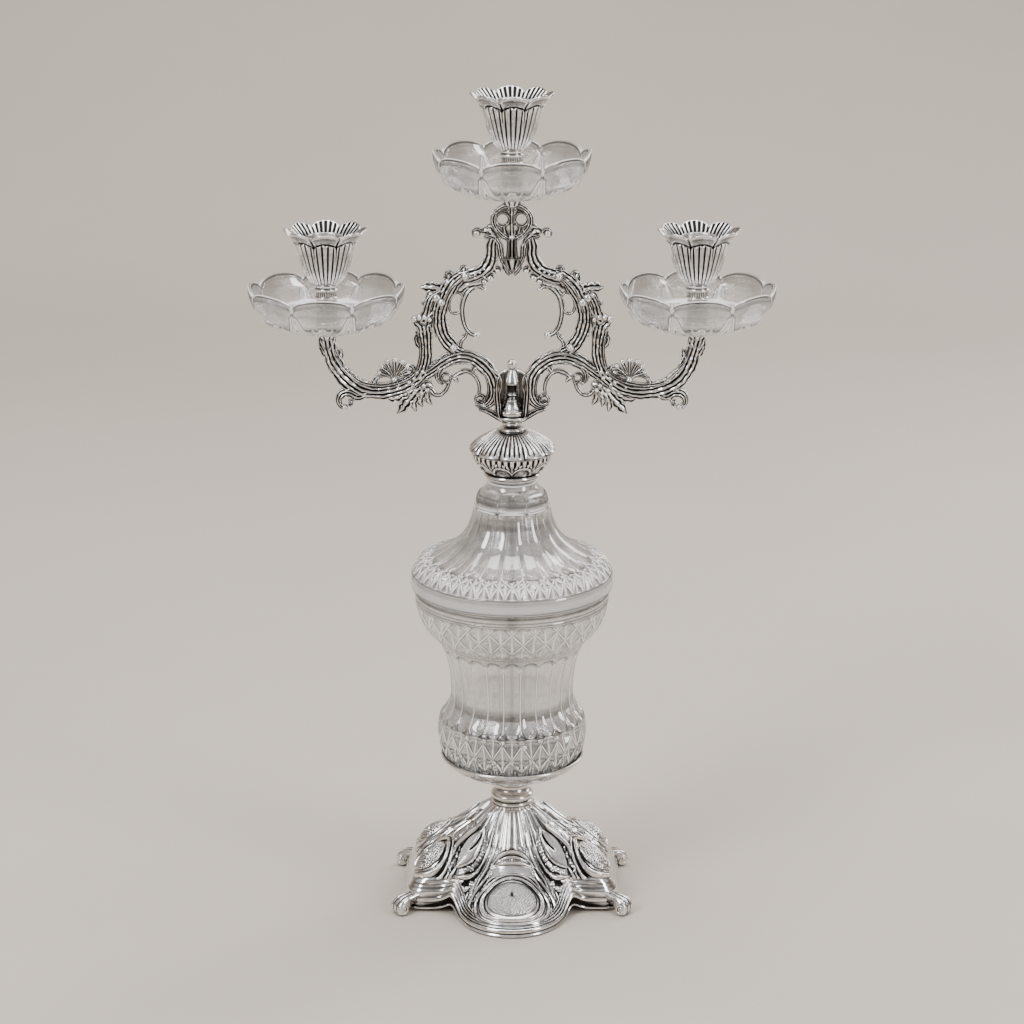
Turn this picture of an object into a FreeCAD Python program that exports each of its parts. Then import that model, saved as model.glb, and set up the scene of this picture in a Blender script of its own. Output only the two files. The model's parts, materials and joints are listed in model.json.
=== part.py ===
import FreeCAD, Part
import math
import os
import Sketcher

# Three-light tabletop candelabra: a cast base with four scroll feet, a crystal urn and lid held
# between turned metal pieces by one tie rod, and a scrolled branch with three lights.
# Millimetres, +Z up, origin on the ground under the tie rod, front towards -Y.

doc = FreeCAD.newDocument("candelabra")
sheet = doc.addObject("Spreadsheet::Sheet", "Sizes")


class Size:
    """A length that holds its value and the sheet expression that gives it."""

    def __init__(self, value, text):
        self.value = float(value)
        self.text = text

    def joined(self, sign, other, value):
        return Size(value, f"({self.text} {sign} {other.text})")

    def __add__(self, other):
        other = as_size(other)
        return self.joined("+", other, self.value + other.value)

    def __sub__(self, other):
        other = as_size(other)
        return self.joined("-", other, self.value - other.value)

    def __mul__(self, other):
        other = as_size(other)
        return self.joined("*", other, self.value * other.value)

    def __truediv__(self, other):
        other = as_size(other)
        return self.joined("/", other, self.value / other.value)

    def __radd__(self, other):
        return as_size(other) + self

    def __rsub__(self, other):
        return as_size(other) - self

    def __rmul__(self, other):
        return as_size(other) * self

    def __neg__(self):
        return Size(-self.value, f"(0 - {self.text})")


def as_size(length):
    return length if isinstance(length, Size) else Size(length, repr(float(length)))


def dimension(alias, value, meaning):
    """Write one driving dimension into the next row of the sheet."""
    row = dimension.rows = getattr(dimension, "rows", 0) + 1
    sheet.set(f"A{row}", str(value))
    sheet.setAlias(f"A{row}", alias)
    sheet.set(f"B{row}", meaning)
    return Size(value, f"Sizes.{alias}")


# ---- driving dimensions -------------------------------------------------------------------
# fits
seat_gap = dimension("seat_gap", 0.1, "radial gap of fixed pieces on the tie rod and studs")
running_gap = dimension("running_gap", 0.05, "radial gap of pieces that turn or lift")

# base casting and feet
base_height = dimension("base_height", 68.5, "ground to the seat of the stem knob")
base_half_width = dimension("base_half_width", 72, "axis to the straight side of a side lobe")
base_half_depth = dimension("base_half_depth", 81.6, "axis to the tip of the front lobe")
base_top_radius = dimension("base_top_radius", 14, "radius of the seat at the top of the base")
base_wall = dimension("base_wall", 3, "wall of the hollow casting")
foot_width = dimension("foot_width", 15, "width of a scroll foot across its roll")
foot_height = dimension("foot_height", 14, "height of the roll of a scroll foot")
foot_reach = dimension("foot_reach", 17, "how far a foot stands out of its corner")
foot_angle = dimension("foot_angle", 37.5, "degrees a foot splays from the sides")

# tie rod and its hardware
rod_radius = dimension("rod_radius", 3.3, "tie rod inside the crystal")
thread_radius = dimension("thread_radius", 2, "threaded top end of the tie rod")
rod_tail = dimension("rod_tail", 3, "rod that stands out under the base nut")
washer_thickness = dimension("washer_thickness", 2, "washer under the base")
nut_height = dimension("nut_height", 6, "base nut and stop nut")
nut_flats = dimension("nut_flats", 11, "across the flats of every hexagon")
coupling_length = dimension("coupling_length", 18, "long nut that joins the two rods")
coupling_level = dimension("coupling_level", 98.3, "urn floor to the foot of the long nut")
stop_level = dimension("stop_level", 83.3, "urn floor to the foot of the stop nut")
flange_radius = dimension("flange_radius", 9, "centring flange under the neck of the lid")
flange_thickness = dimension("flange_thickness", 4, "centring flange")
flange_drop = dimension("flange_drop", 25, "top of the lid down to the foot of the flange")

# stem knob and urn cup
knob_height = dimension("knob_height", 19.5, "stem knob")
knob_radius = dimension("knob_radius", 15.5, "widest ring of the stem knob")
knob_neck_radius = dimension("knob_neck_radius", 11, "neck of the stem knob, foot of the cup")
cup_radius = dimension("cup_radius", 49.5, "lip of the metal urn cup")
cup_height = dimension("cup_height", 19, "urn cup")
cup_wall = dimension("cup_wall", 1.2, "wall of the urn cup")
cup_floor = dimension("cup_floor", 5.2, "urn cup at its centre")
cup_seat_radius = dimension("cup_seat_radius", 30, "flat seat inside the urn cup")
gasket_thickness = dimension("gasket_thickness", 1.5, "every gasket")

# crystal urn and lid
urn_height = dimension("urn_height", 134.8, "crystal urn")
urn_belly_radius = dimension("urn_belly_radius", 52.5, "cut bulge at the foot of the urn")
urn_waist_radius = dimension("urn_waist_radius", 43.5, "waist of the urn")
urn_rim_radius = dimension("urn_rim_radius", 67.5, "rim of the urn")
urn_wall = dimension("urn_wall", 5, "crystal wall of the urn")
urn_floor = dimension("urn_floor", 7, "crystal floor of the urn")
lid_height = dimension("lid_height", 76, "crystal lid")
lid_rim_radius = dimension("lid_rim_radius", 70, "rim of the lid")
lid_neck_radius = dimension("lid_neck_radius", 17, "neck at the top of the lid")
lid_wall = dimension("lid_wall", 4.5, "crystal wall of the lid")

# knop and neck above the crystal
gallery_height = dimension("gallery_height", 20, "scalloped gallery under the knop cap")
gallery_radius = dimension("gallery_radius", 28, "gallery at its top")
knop_height = dimension("knop_height", 14, "fluted knop cap")
knop_radius = dimension("knop_radius", 30, "edge of the knop cap")
shell_wall = dimension("shell_wall", 2, "wall of the knop and gallery shells")
neck_height = dimension("neck_height", 7, "neck spool between knop and branch")

# branch
hub_floor = dimension("hub_floor", 2, "floor of the hub that the finial clamps")
hub_height = dimension("hub_height", 34, "hub from its foot to the top of its niche")
niche_radius = dimension("niche_radius", 9, "hollow half round behind the finial")
niche_wall = dimension("niche_wall", 2.5, "wall of the niche")
branch_depth = dimension("branch_depth", 8, "front to back of the scroll castings")
leaf_depth = dimension("leaf_depth", 4, "front to back of the leaf castings")
light_spread = dimension("light_spread", 125, "axis to the axis of a side light")
light_drop = dimension("light_drop", 91, "centre light down to the side lights")
crest_height = dimension("crest_height", 45, "centre crest from its pendant to its top")
light_rise = dimension("light_rise", 147.5, "foot of the hub to the top of the crest")

# finial nut
bell_radius = dimension("bell_radius", 8, "bell washer of the finial")
bell_height = dimension("bell_height", 12.5, "bell washer of the finial")
finial_height = dimension("finial_height", 28, "finial nut above its bell")
ball_radius = dimension("ball_radius", 3.3, "ball at the tip of the finial")
finial_thread = dimension("finial_thread", 7, "thread of the rod inside the finial nut")

# one light
calyx_radius = dimension("calyx_radius", 6.2, "leaf calyx under a drip pan")
calyx_height = dimension("calyx_height", 4.5, "leaf calyx under a drip pan")
pan_washer = dimension("pan_washer", 1, "felt washer under a drip pan")
pan_radius = dimension("pan_radius", 52.5, "crystal drip pan")
pan_height = dimension("pan_height", 32.5, "drip pan to the tips of its scallops")
pan_wall = dimension("pan_wall", 3.2, "wall of the drip pan")
pan_floor = dimension("pan_floor", 4, "drip pan at its centre")
pan_hole_radius = dimension("pan_hole_radius", 4, "hole of the drip pan")
stud_radius = dimension("stud_radius", 2.5, "threaded stud that holds a light")
stud_thread = dimension("stud_thread", 16, "thread of the stud inside the collar")
collar_radius = dimension("collar_radius", 7.8, "collar under the candle cup")
collar_height = dimension("collar_height", 28.5, "collar under the candle cup")
stem_radius = dimension("stem_radius", 5, "stem of the candle socket")
cup_base_height = dimension("cup_base_height", 10.5, "petal cup below the candle socket")
candle_radius = dimension("candle_radius", 11.2, "bore that takes a 22 mm candle")
candle_depth = dimension("candle_depth", 21.7, "depth of the candle bore")
socket_wall = dimension("socket_wall", 0.75, "wall of the candle socket")
petal_radius = dimension("petal_radius", 28, "tips of the petals")
petal_height = dimension("petal_height", 38.5, "petal cup from the collar to its tips")

PETALS = 6
SCALLOPS = 8

# ---- heights of the seats -----------------------------------------------------------------
knob_seat = base_height
cup_seat = knob_seat + knob_height
urn_seat = cup_seat + cup_floor + gasket_thickness
rim_seat = urn_seat + urn_height
lid_seat = rim_seat + gasket_thickness
gallery_seat = lid_seat + lid_height + gasket_thickness
knop_seat = gallery_seat + gallery_height
neck_seat = knop_seat + knop_height
hub_seat = neck_seat + neck_height
bell_seat = hub_seat + hub_floor
finial_seat = bell_seat + bell_height
crest_top = hub_seat + light_rise

NODES = []


# ---- helpers ------------------------------------------------------------------------------
def bind(thing, property_name, length):
    """Set a property and tie it to the sheet."""
    thing.setExpression(property_name, as_size(length).text)


def place(thing, x=0, y=0, z=0):
    for axis, length in (("x", x), ("y", y), ("z", z)):
        bind(thing, f".Placement.Base.{axis}", length)


def origin_plane(body, role):
    return next(plane for plane in body.Origin.OriginFeatures if plane.Role == role)


def new_body(label):
    body = doc.addObject("PartDesign::Body", label)
    body.Label = label
    NODES.append(body)
    return body


def new_sketch(body, name, role, lift=None):
    sketch = body.newObject("Sketcher::SketchObject", name)
    sketch.AttachmentSupport = [(origin_plane(body, role), "")]
    sketch.MapMode = "FlatFace"
    if lift is not None:
        bind(sketch, ".AttachmentOffset.Base.z", lift)
    return sketch


def pin_point(sketch, geometry, end, x, y):
    """Hold a point of a sketch at sheet-driven coordinates."""
    for kind, length, axis in (("DistanceX", x, -2), ("DistanceY", y, -1)):
        if length.value == 0:
            sketch.addConstraint(Sketcher.Constraint("PointOnObject", geometry, end, axis))
            continue
        index = sketch.addConstraint(
            Sketcher.Constraint(kind, -1, 1, geometry, end, length.value))
        name = f"p{index}"
        sketch.renameConstraint(index, name)
        sketch.setExpression(f"Constraints.{name}", length.text)


def outline(sketch, corners):
    """Draw a closed outline. A corner is (x, y), or (x, y, bend_x, bend_y) for an arc that
    passes through the bend on its way to (x, y)."""
    points = [[as_size(value) for value in corner] for corner in corners]
    pieces = []
    for index, point in enumerate(points):
        before = points[index - 1]
        start = FreeCAD.Vector(before[0].value, before[1].value, 0)
        stop = FreeCAD.Vector(point[0].value, point[1].value, 0)
        if len(point) == 2:
            pieces.append(sketch.addGeometry(Part.LineSegment(start, stop)))
            start_end = (1, 2)
        else:
            bend = FreeCAD.Vector(point[2].value, point[3].value, 0)
            arc = sketch.addGeometry(Part.Arc(start, bend, stop))
            pieces.append(arc)
            turned_round = (sketch.getPoint(arc, 1) - start).Length > 1e-6
            start_end = (2, 1) if turned_round else (1, 2)
            on_arc = sketch.addGeometry(Part.Point(bend), True)
            sketch.addConstraint(Sketcher.Constraint("PointOnObject", on_arc, 1, arc))
            pin_point(sketch, on_arc, 1, point[2], point[3])
        pieces[-1] = (pieces[-1], start_end)
    for index, (piece, ends) in enumerate(pieces):
        following, next_ends = pieces[(index + 1) % len(pieces)]
        sketch.addConstraint(
            Sketcher.Constraint("Coincident", piece, ends[1], following, next_ends[0]))
        pin_point(sketch, piece, ends[1], points[index][0], points[index][1])


def circle(sketch, x, y, radius):
    x, y, radius = as_size(x), as_size(y), as_size(radius)
    centre = FreeCAD.Vector(x.value, y.value, 0)
    ring = sketch.addGeometry(Part.Circle(centre, FreeCAD.Vector(0, 0, 1), radius.value))
    pin_point(sketch, ring, 3, x, y)
    index = sketch.addConstraint(Sketcher.Constraint("Radius", ring, radius.value))
    sketch.renameConstraint(index, "radius")
    sketch.setExpression("Constraints.radius", radius.text)


def revolve(body, name, corners, angle=360):
    """Turn an outline of (radius, height) corners about the body's own Z axis."""
    sketch = new_sketch(body, name + "_profile", "XZ_Plane")
    outline(sketch, corners)
    doc.recompute()
    turned = body.newObject("PartDesign::Revolution", name)
    turned.Profile = sketch
    turned.ReferenceAxis = (sketch, ["V_Axis"])
    turned.Angle = angle
    return turned


def turned_piece(label, corners, x=0, z=0):
    body = new_body(label)
    revolve(body, label + "_turned", corners)
    place(body, x=x, z=z)
    return body


def padded_plate(label, corners, depth, z=0, x=0, holes=()):
    """A casting that is flat front to back, drawn in its front view."""
    body = new_body(label)
    sketch = new_sketch(body, label + "_front", "XZ_Plane")
    outline(sketch, corners)
    pad = body.newObject("PartDesign::Pad", label + "_pad")
    pad.Profile = sketch
    pad.Midplane = True
    bind(pad, "Length", depth)
    for index, (hole_x, hole_z, radius) in enumerate(holes):
        doc.recompute()
        hole_sketch = new_sketch(body, f"{label}_hole_{index}", "XZ_Plane")
        circle(hole_sketch, hole_x, hole_z, radius)
        pocket = body.newObject("PartDesign::Pocket", f"{label}_pocket_{index}")
        pocket.Profile = hole_sketch
        pocket.Midplane = True
        pocket.Type = "ThroughAll"
    place(body, x=x, z=z)
    return body


def hexagon_nut(label, height, bore, z):
    body = new_body(label)
    sketch = new_sketch(body, label + "_plan", "XY_Plane")
    corner = nut_flats / 2 / math.cos(math.pi / 6)
    turns = [index * math.pi / 3 for index in range(6)]
    outline(sketch, [(corner * math.cos(turn), corner * math.sin(turn)) for turn in turns])
    pad = body.newObject("PartDesign::Pad", label + "_pad")
    pad.Profile = sketch
    bind(pad, "Length", height)
    doc.recompute()
    hole_sketch = new_sketch(body, label + "_bore_plan", "XY_Plane")
    circle(hole_sketch, 0, 0, bore)
    pocket = body.newObject("PartDesign::Pocket", label + "_bore")
    pocket.Profile = hole_sketch
    pocket.Midplane = True
    pocket.Type = "ThroughAll"
    place(body, z=z)
    return body


def trim(body, neighbour):
    """Stop a piece at the neighbour it is joined to. The trimmed piece takes over its name."""
    label = body.Label
    shape = body.Shape.cut(neighbour.Shape)
    body.Label = label + "_untrimmed"
    trimmed = doc.addObject("Part::Feature", label)
    trimmed.Label = label
    trimmed.Shape = max(shape.Solids, key=lambda solid: solid.Volume)
    NODES[NODES.index(body)] = trimmed


def group(label, bodies):
    """Identical small pieces share one node as separate solids."""
    compound = doc.addObject("Part::Compound", label)
    compound.Label = label
    compound.Links = bodies
    for body in bodies:
        NODES.remove(body)
    NODES.append(compound)


def mirror_corners(corners):
    """Add the mirrored half to an outline that runs from the foot to the top of the axis."""
    return corners + [(-as_size(x), z) for x, z in reversed(corners[1:-1])]


# ---- base ---------------------------------------------------------------------------------
# a quarter of the plan as shares of its half width: notch, shoulder, corner and cheek
LOBED = ((0.56, 0.5), (0.86, 0.56), (0.958, 0.522), (1.0, 0.42))
ROUND = ((0.643, 0.766), (0.766, 0.643), (0.866, 0.5), (0.94, 0.342))


def base_section(body, name, level, half_width, half_depth, inset, roundness):
    """The plan of the base at one level: round lobes front and back, square lobes at the
    sides, meeting at four notches. It becomes a circle as roundness goes from 0 to 1."""
    width = half_width - inset
    depth = half_depth - inset
    shares = [(a[0] + (b[0] - a[0]) * roundness, a[1] + (b[1] - a[1]) * roundness)
              for a, b in zip(LOBED, ROUND)]
    (notch_x, notch_y), (corner, shoulder_y), (bend_x, bend_y), (cheek_x, cheek_y) = [
        (width * share_x, width * share_y) for share_x, share_y in shares]
    sketch = new_sketch(body, name, "XY_Plane", lift=level)
    outline(sketch, [
        (notch_x, -notch_y, 0, -depth),
        (corner, -shoulder_y),
        (cheek_x, -cheek_y, bend_x, -bend_y),
        (cheek_x, cheek_y),
        (corner, shoulder_y, bend_x, bend_y),
        (notch_x, notch_y),
        (-notch_x, notch_y, 0, depth),
        (-corner, shoulder_y),
        (-cheek_x, cheek_y, -bend_x, bend_y),
        (-cheek_x, -cheek_y),
        (-corner, -shoulder_y, -bend_x, -bend_y),
        (-notch_x, -notch_y),
    ])
    return sketch


def build_base():
    """Hollow cast dome. Its plan shrinks from the lobed rim to the small round seat."""
    body = new_body("base_casting")
    rim = 7
    # level above the ground, how far the sides and the lobes have drawn in there, roundness
    steps = [(1, 0, 0, 0), (rim, 0, 0, 0), (16.5, 2.5, 16, 0), (29, 9, 33, 0.1),
             (43, 22, 46, 0.3), (55.5, 38, 56, 0.7),
             (base_height, base_half_width - base_top_radius,
              base_half_depth - base_top_radius, 1)]
    for feature, inset in (("AdditiveLoft", as_size(0)), ("SubtractiveLoft", base_wall)):
        sections = []
        for index, (level, side, lobe, roundness) in enumerate(steps):
            level = as_size(level)
            if feature == "SubtractiveLoft":
                level = level - base_wall if index else level - 2
            sections.append(base_section(
                body, f"{feature}_{index}", level,
                base_half_width - side, base_half_depth - lobe, inset, roundness))
        doc.recompute()
        loft = body.newObject("PartDesign::" + feature, feature)
        loft.Profile = sections[0]
        loft.Sections = sections[1:]
        loft.Ruled = True
        doc.recompute()
    bore_plan = new_sketch(body, "base_bore_plan", "XY_Plane")
    circle(bore_plan, 0, 0, rod_radius + seat_gap)
    bore = body.newObject("PartDesign::Pocket", "base_bore")
    bore.Profile = bore_plan
    bore.Midplane = True
    bore.Type = "ThroughAll"
    doc.recompute()
    return body


def build_feet(base):
    """Scroll feet: a roll with a flat pad on the ground and a neck against a corner of the
    base. Each is drawn pointing outwards along its own X from the corner."""
    corner_x = base_half_width * 0.958
    corner_y = base_half_width * 0.522
    for side_x, side_y, place_name in ((-1, -1, "front_left"), (1, -1, "front_right"),
                                       (-1, 1, "back_left"), (1, 1, "back_right")):
        label = "foot_" + place_name
        body = new_body(label)
        roll = foot_height / 2
        bulge = roll * math.cos(math.pi / 4)
        sketch = new_sketch(body, label + "_profile", "XZ_Plane")
        outline(sketch, [
            (foot_reach, roll, foot_reach - roll + bulge, roll - bulge),
            (foot_reach - roll, foot_height, foot_reach - roll + bulge, roll + bulge),
            (-1, foot_height + 3),
            (-1, roll - 2),
            (foot_reach - roll - 6, 0),
            (foot_reach - roll, 0),
        ])
        pad = body.newObject("PartDesign::Pad", label + "_pad")
        pad.Profile = sketch
        pad.Midplane = True
        bind(pad, "Length", foot_width)
        splay = foot_angle.value if side_x > 0 else 180 - foot_angle.value
        body.Placement = FreeCAD.Placement(
            FreeCAD.Vector(0, 0, 0), FreeCAD.Rotation(FreeCAD.Vector(0, 0, 1), side_y * splay))
        place(body, x=side_x * corner_x, y=side_y * corner_y)
        doc.recompute()
        trim(body, base)


# ---- rod, stem and crystal ----------------------------------------------------------------
def build_stack():
    washer_seat = base_height - base_wall - washer_thickness
    bore = rod_radius + seat_gap
    washer_radius = base_top_radius - base_wall - 1
    turned_piece("base_washer", [
        (bore, 0), (washer_radius, 0), (washer_radius, washer_thickness),
        (bore, washer_thickness)], z=washer_seat)
    hexagon_nut("base_nut", nut_height, bore, washer_seat - nut_height)
    rod_foot = washer_seat - nut_height - rod_tail
    rod_joint = urn_seat + urn_floor + coupling_level + coupling_length / 2
    turned_piece("lower_tie_rod", [
        (0, 0), (rod_radius, 0), (rod_radius, rod_joint - rod_foot),
        (0, rod_joint - rod_foot)], z=rod_foot)
    shoulder = neck_seat - rod_joint
    tip = finial_seat + finial_thread - rod_joint
    turned_piece("upper_tie_rod", [
        (0, 0), (rod_radius, 0), (rod_radius, shoulder), (thread_radius, shoulder),
        (thread_radius, tip), (0, tip)], z=rod_joint)
    hexagon_nut("stop_nut", nut_height, bore, urn_seat + urn_floor + stop_level)
    hexagon_nut("coupling_nut", coupling_length, bore, urn_seat + urn_floor + coupling_level)
    turned_piece("centring_flange", [
        (bore, 0), (flange_radius, 0), (flange_radius, flange_thickness),
        (bore, flange_thickness)], z=lid_seat + lid_height - flange_drop)
    turned_piece("stem_knob", [
        (bore, 0), (base_top_radius, 0), (base_top_radius, 3),
        (knob_neck_radius + 1.5, 11, knob_radius, 7), (knob_neck_radius, 13),
        (knob_neck_radius, knob_height), (bore, knob_height)], z=knob_seat)
    lip = cup_radius - cup_wall
    turned_piece("urn_cup", [
        (bore, 0), (knob_neck_radius, 0), (20, 1.3), (30, 4), (40, 8.5), (cup_radius - 3, 13),
        (cup_radius, cup_height - 1.5), (cup_radius, cup_height), (lip, cup_height),
        (lip, cup_height - 1.5), (lip - 3, 14), (40, 9.9), (cup_seat_radius, cup_floor),
        (bore, cup_floor)], z=cup_seat)
    turned_piece("urn_gasket", [
        (bore, 0), (cup_seat_radius - 1, 0), (cup_seat_radius - 1, gasket_thickness),
        (bore, gasket_thickness)], z=cup_seat + cup_floor)
    inner_rim = urn_rim_radius - urn_wall
    inner_waist = urn_waist_radius - urn_wall
    inner_belly = urn_belly_radius - urn_wall
    rim = urn_height
    turned_piece("crystal_urn", [
        (bore, 0), (cup_seat_radius - 1, 0), (39, 4.7), (lip - 3.6, 9.4), (lip - 0.3, 12.4),
        (urn_belly_radius - 2, 15.5), (urn_belly_radius - 2.2, 42, urn_belly_radius, 30),
        (urn_waist_radius, 58, urn_waist_radius + 1.8, 49),
        (urn_waist_radius + 7, rim - 38.5, urn_waist_radius + 1.6, 75),
        (urn_waist_radius + 10.5, rim - 33.5), (urn_rim_radius - 3, rim - 19.5),
        (urn_rim_radius, rim - 10), (urn_rim_radius, rim), (inner_rim, rim),
        (inner_rim, rim - 10), (inner_rim - 3.5, rim - 18), (urn_waist_radius + 6, rim - 29),
        (inner_waist + 5.5, rim - 41), (inner_waist, 58, inner_waist + 0.6, 76),
        (inner_belly - 3, 42, inner_waist + 2.2, 48),
        (inner_belly - 4, 16, inner_belly, 29), (cup_seat_radius, urn_floor),
        (bore, urn_floor)], z=urn_seat)
    turned_piece("rim_gasket", [
        (inner_rim + 0.5, 0), (urn_rim_radius - 0.5, 0),
        (urn_rim_radius - 0.5, gasket_thickness), (inner_rim + 0.5, gasket_thickness)],
        z=rim_seat)
    top = lid_height
    inner_lid = lid_rim_radius - lid_wall - 1.5
    turned_piece("crystal_lid", [
        (inner_rim, 0), (lid_rim_radius, 0), (lid_rim_radius, 10), (lid_rim_radius - 1.5, 14),
        (lid_rim_radius - 12, 21.3, lid_rim_radius - 4.8, 19.2),
        (lid_neck_radius + 12, 49, 41.5, 30.3), (lid_neck_radius + 9, top - 12),
        (lid_neck_radius + 0.5, top - 3, lid_neck_radius + 6.5, top - 7.5),
        (lid_neck_radius, top), (bore + 3, top), (bore + 3, top - 6),
        (lid_neck_radius + 3, top - 14),
        (lid_neck_radius + 12 - lid_wall, 47), (inner_lid - 12.5, 16.5, 37.5, 27),
        (inner_lid, 9), (inner_rim, 6)], z=lid_seat)
    turned_piece("lid_gasket", [
        (bore + 3, 0), (lid_neck_radius - 1, 0), (lid_neck_radius - 1, gasket_thickness),
        (bore + 3, gasket_thickness)], z=lid_seat + lid_height)
    turned_piece("knop_gallery", [
        (bore, 0), (lid_neck_radius, 0), (lid_neck_radius + 2, 2.5),
        (lid_neck_radius + 2, 4), (gallery_radius, gallery_height, gallery_radius - 4.5, 10),
        (gallery_radius - shell_wall, gallery_height),
        (lid_neck_radius, 6, gallery_radius - 4.5 - shell_wall, 12),
        (bore, 6)], z=gallery_seat)
    turned_piece("knop_cap", [
        (gallery_radius - shell_wall, 0), (knop_radius, 0),
        (knop_radius, 1.5), (8, knop_height, 21, 9.5), (bore, knop_height),
        (bore, knop_height - 3), (knob_neck_radius, 8)], z=knop_seat)
    neck_bore = thread_radius + seat_gap
    turned_piece("neck_spool", [
        (neck_bore, 0), (8.5, 0), (8.5, 2), (3.5, 2.6), (3.5, 4), (7, 4.3), (7, neck_height),
        (neck_bore, neck_height)], z=neck_seat)


# ---- branch -------------------------------------------------------------------------------
def build_hub():
    """A small dish under the finial whose wall stands up behind it as a half-round niche."""
    body = new_body("branch_hub")
    bore = thread_radius + running_gap
    outer = niche_radius + niche_wall
    revolve(body, "hub_turned", [
        (bore, 0), (8, 0), (outer, hub_floor + 0.5), (outer, hub_height),
        (niche_radius, hub_height), (niche_radius, hub_floor), (bore, hub_floor)])
    doc.recompute()
    front = new_sketch(body, "hub_front", "XY_Plane", lift=hub_floor)
    outline(front, [(-outer - 1, 0), (-outer - 1, -outer - 1), (outer + 1, -outer - 1),
                    (outer + 1, 0)])
    opening = body.newObject("PartDesign::Pocket", "hub_opening")
    opening.Profile = front
    opening.Reversed = True
    bind(opening, "Length", hub_height)
    place(body, z=hub_seat)


def ribbon(centreline, widths, depth):
    """A scroll band: a strip of changing width along a smooth curve in the XZ plane."""
    middle = Part.BSplineCurve()
    middle.interpolate([FreeCAD.Vector(x, 0, z) for x, z in centreline])
    last = len(centreline) - 1
    edges = ([], [])
    for index, (x, z) in enumerate(centreline):
        along = middle.tangent(middle.parameter(FreeCAD.Vector(x, 0, z)))[0]
        across = FreeCAD.Vector(-along.z, 0, along.x)
        half = (widths[0] + (widths[1] - widths[0]) * index / last) / 2
        for side, edge in zip((1, -1), edges):
            edge.append(FreeCAD.Vector(x, 0, z) + across * half * side)
    curves = []
    for edge in edges:
        curve = Part.BSplineCurve()
        curve.interpolate(edge)
        curves.append(curve.toShape())
    caps = [Part.makeLine(edges[0][end], edges[1][end]) for end in (0, -1)]
    face = Part.Face(Part.Wire(Part.__sortEdges__(curves + caps)))
    band = face.extrude(FreeCAD.Vector(0, depth, 0))
    band.translate(FreeCAD.Vector(0, -depth / 2, 0))
    return band


def scroll_piece(label, side, bands, depth, seat, cutters):
    """Fuse the bands of one casting, trim it where it is brazed to its neighbours, and keep
    the largest solid. Heights in the bands count from the foot of the hub."""
    shape = None
    for centreline, widths in bands:
        points = [(x * side, z) for x, z in centreline]
        band = ribbon(points, widths, depth)
        shape = band if shape is None else shape.fuse(band)
    shape.translate(FreeCAD.Vector(0, 0, seat))
    for cutter in cutters:
        shape = shape.cut(cutter)
    shape = max(shape.Solids, key=lambda solid: solid.Volume)
    feature = doc.addObject("Part::Feature", label)
    feature.Label = label
    feature.Shape = shape
    NODES.append(feature)
    return feature


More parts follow.
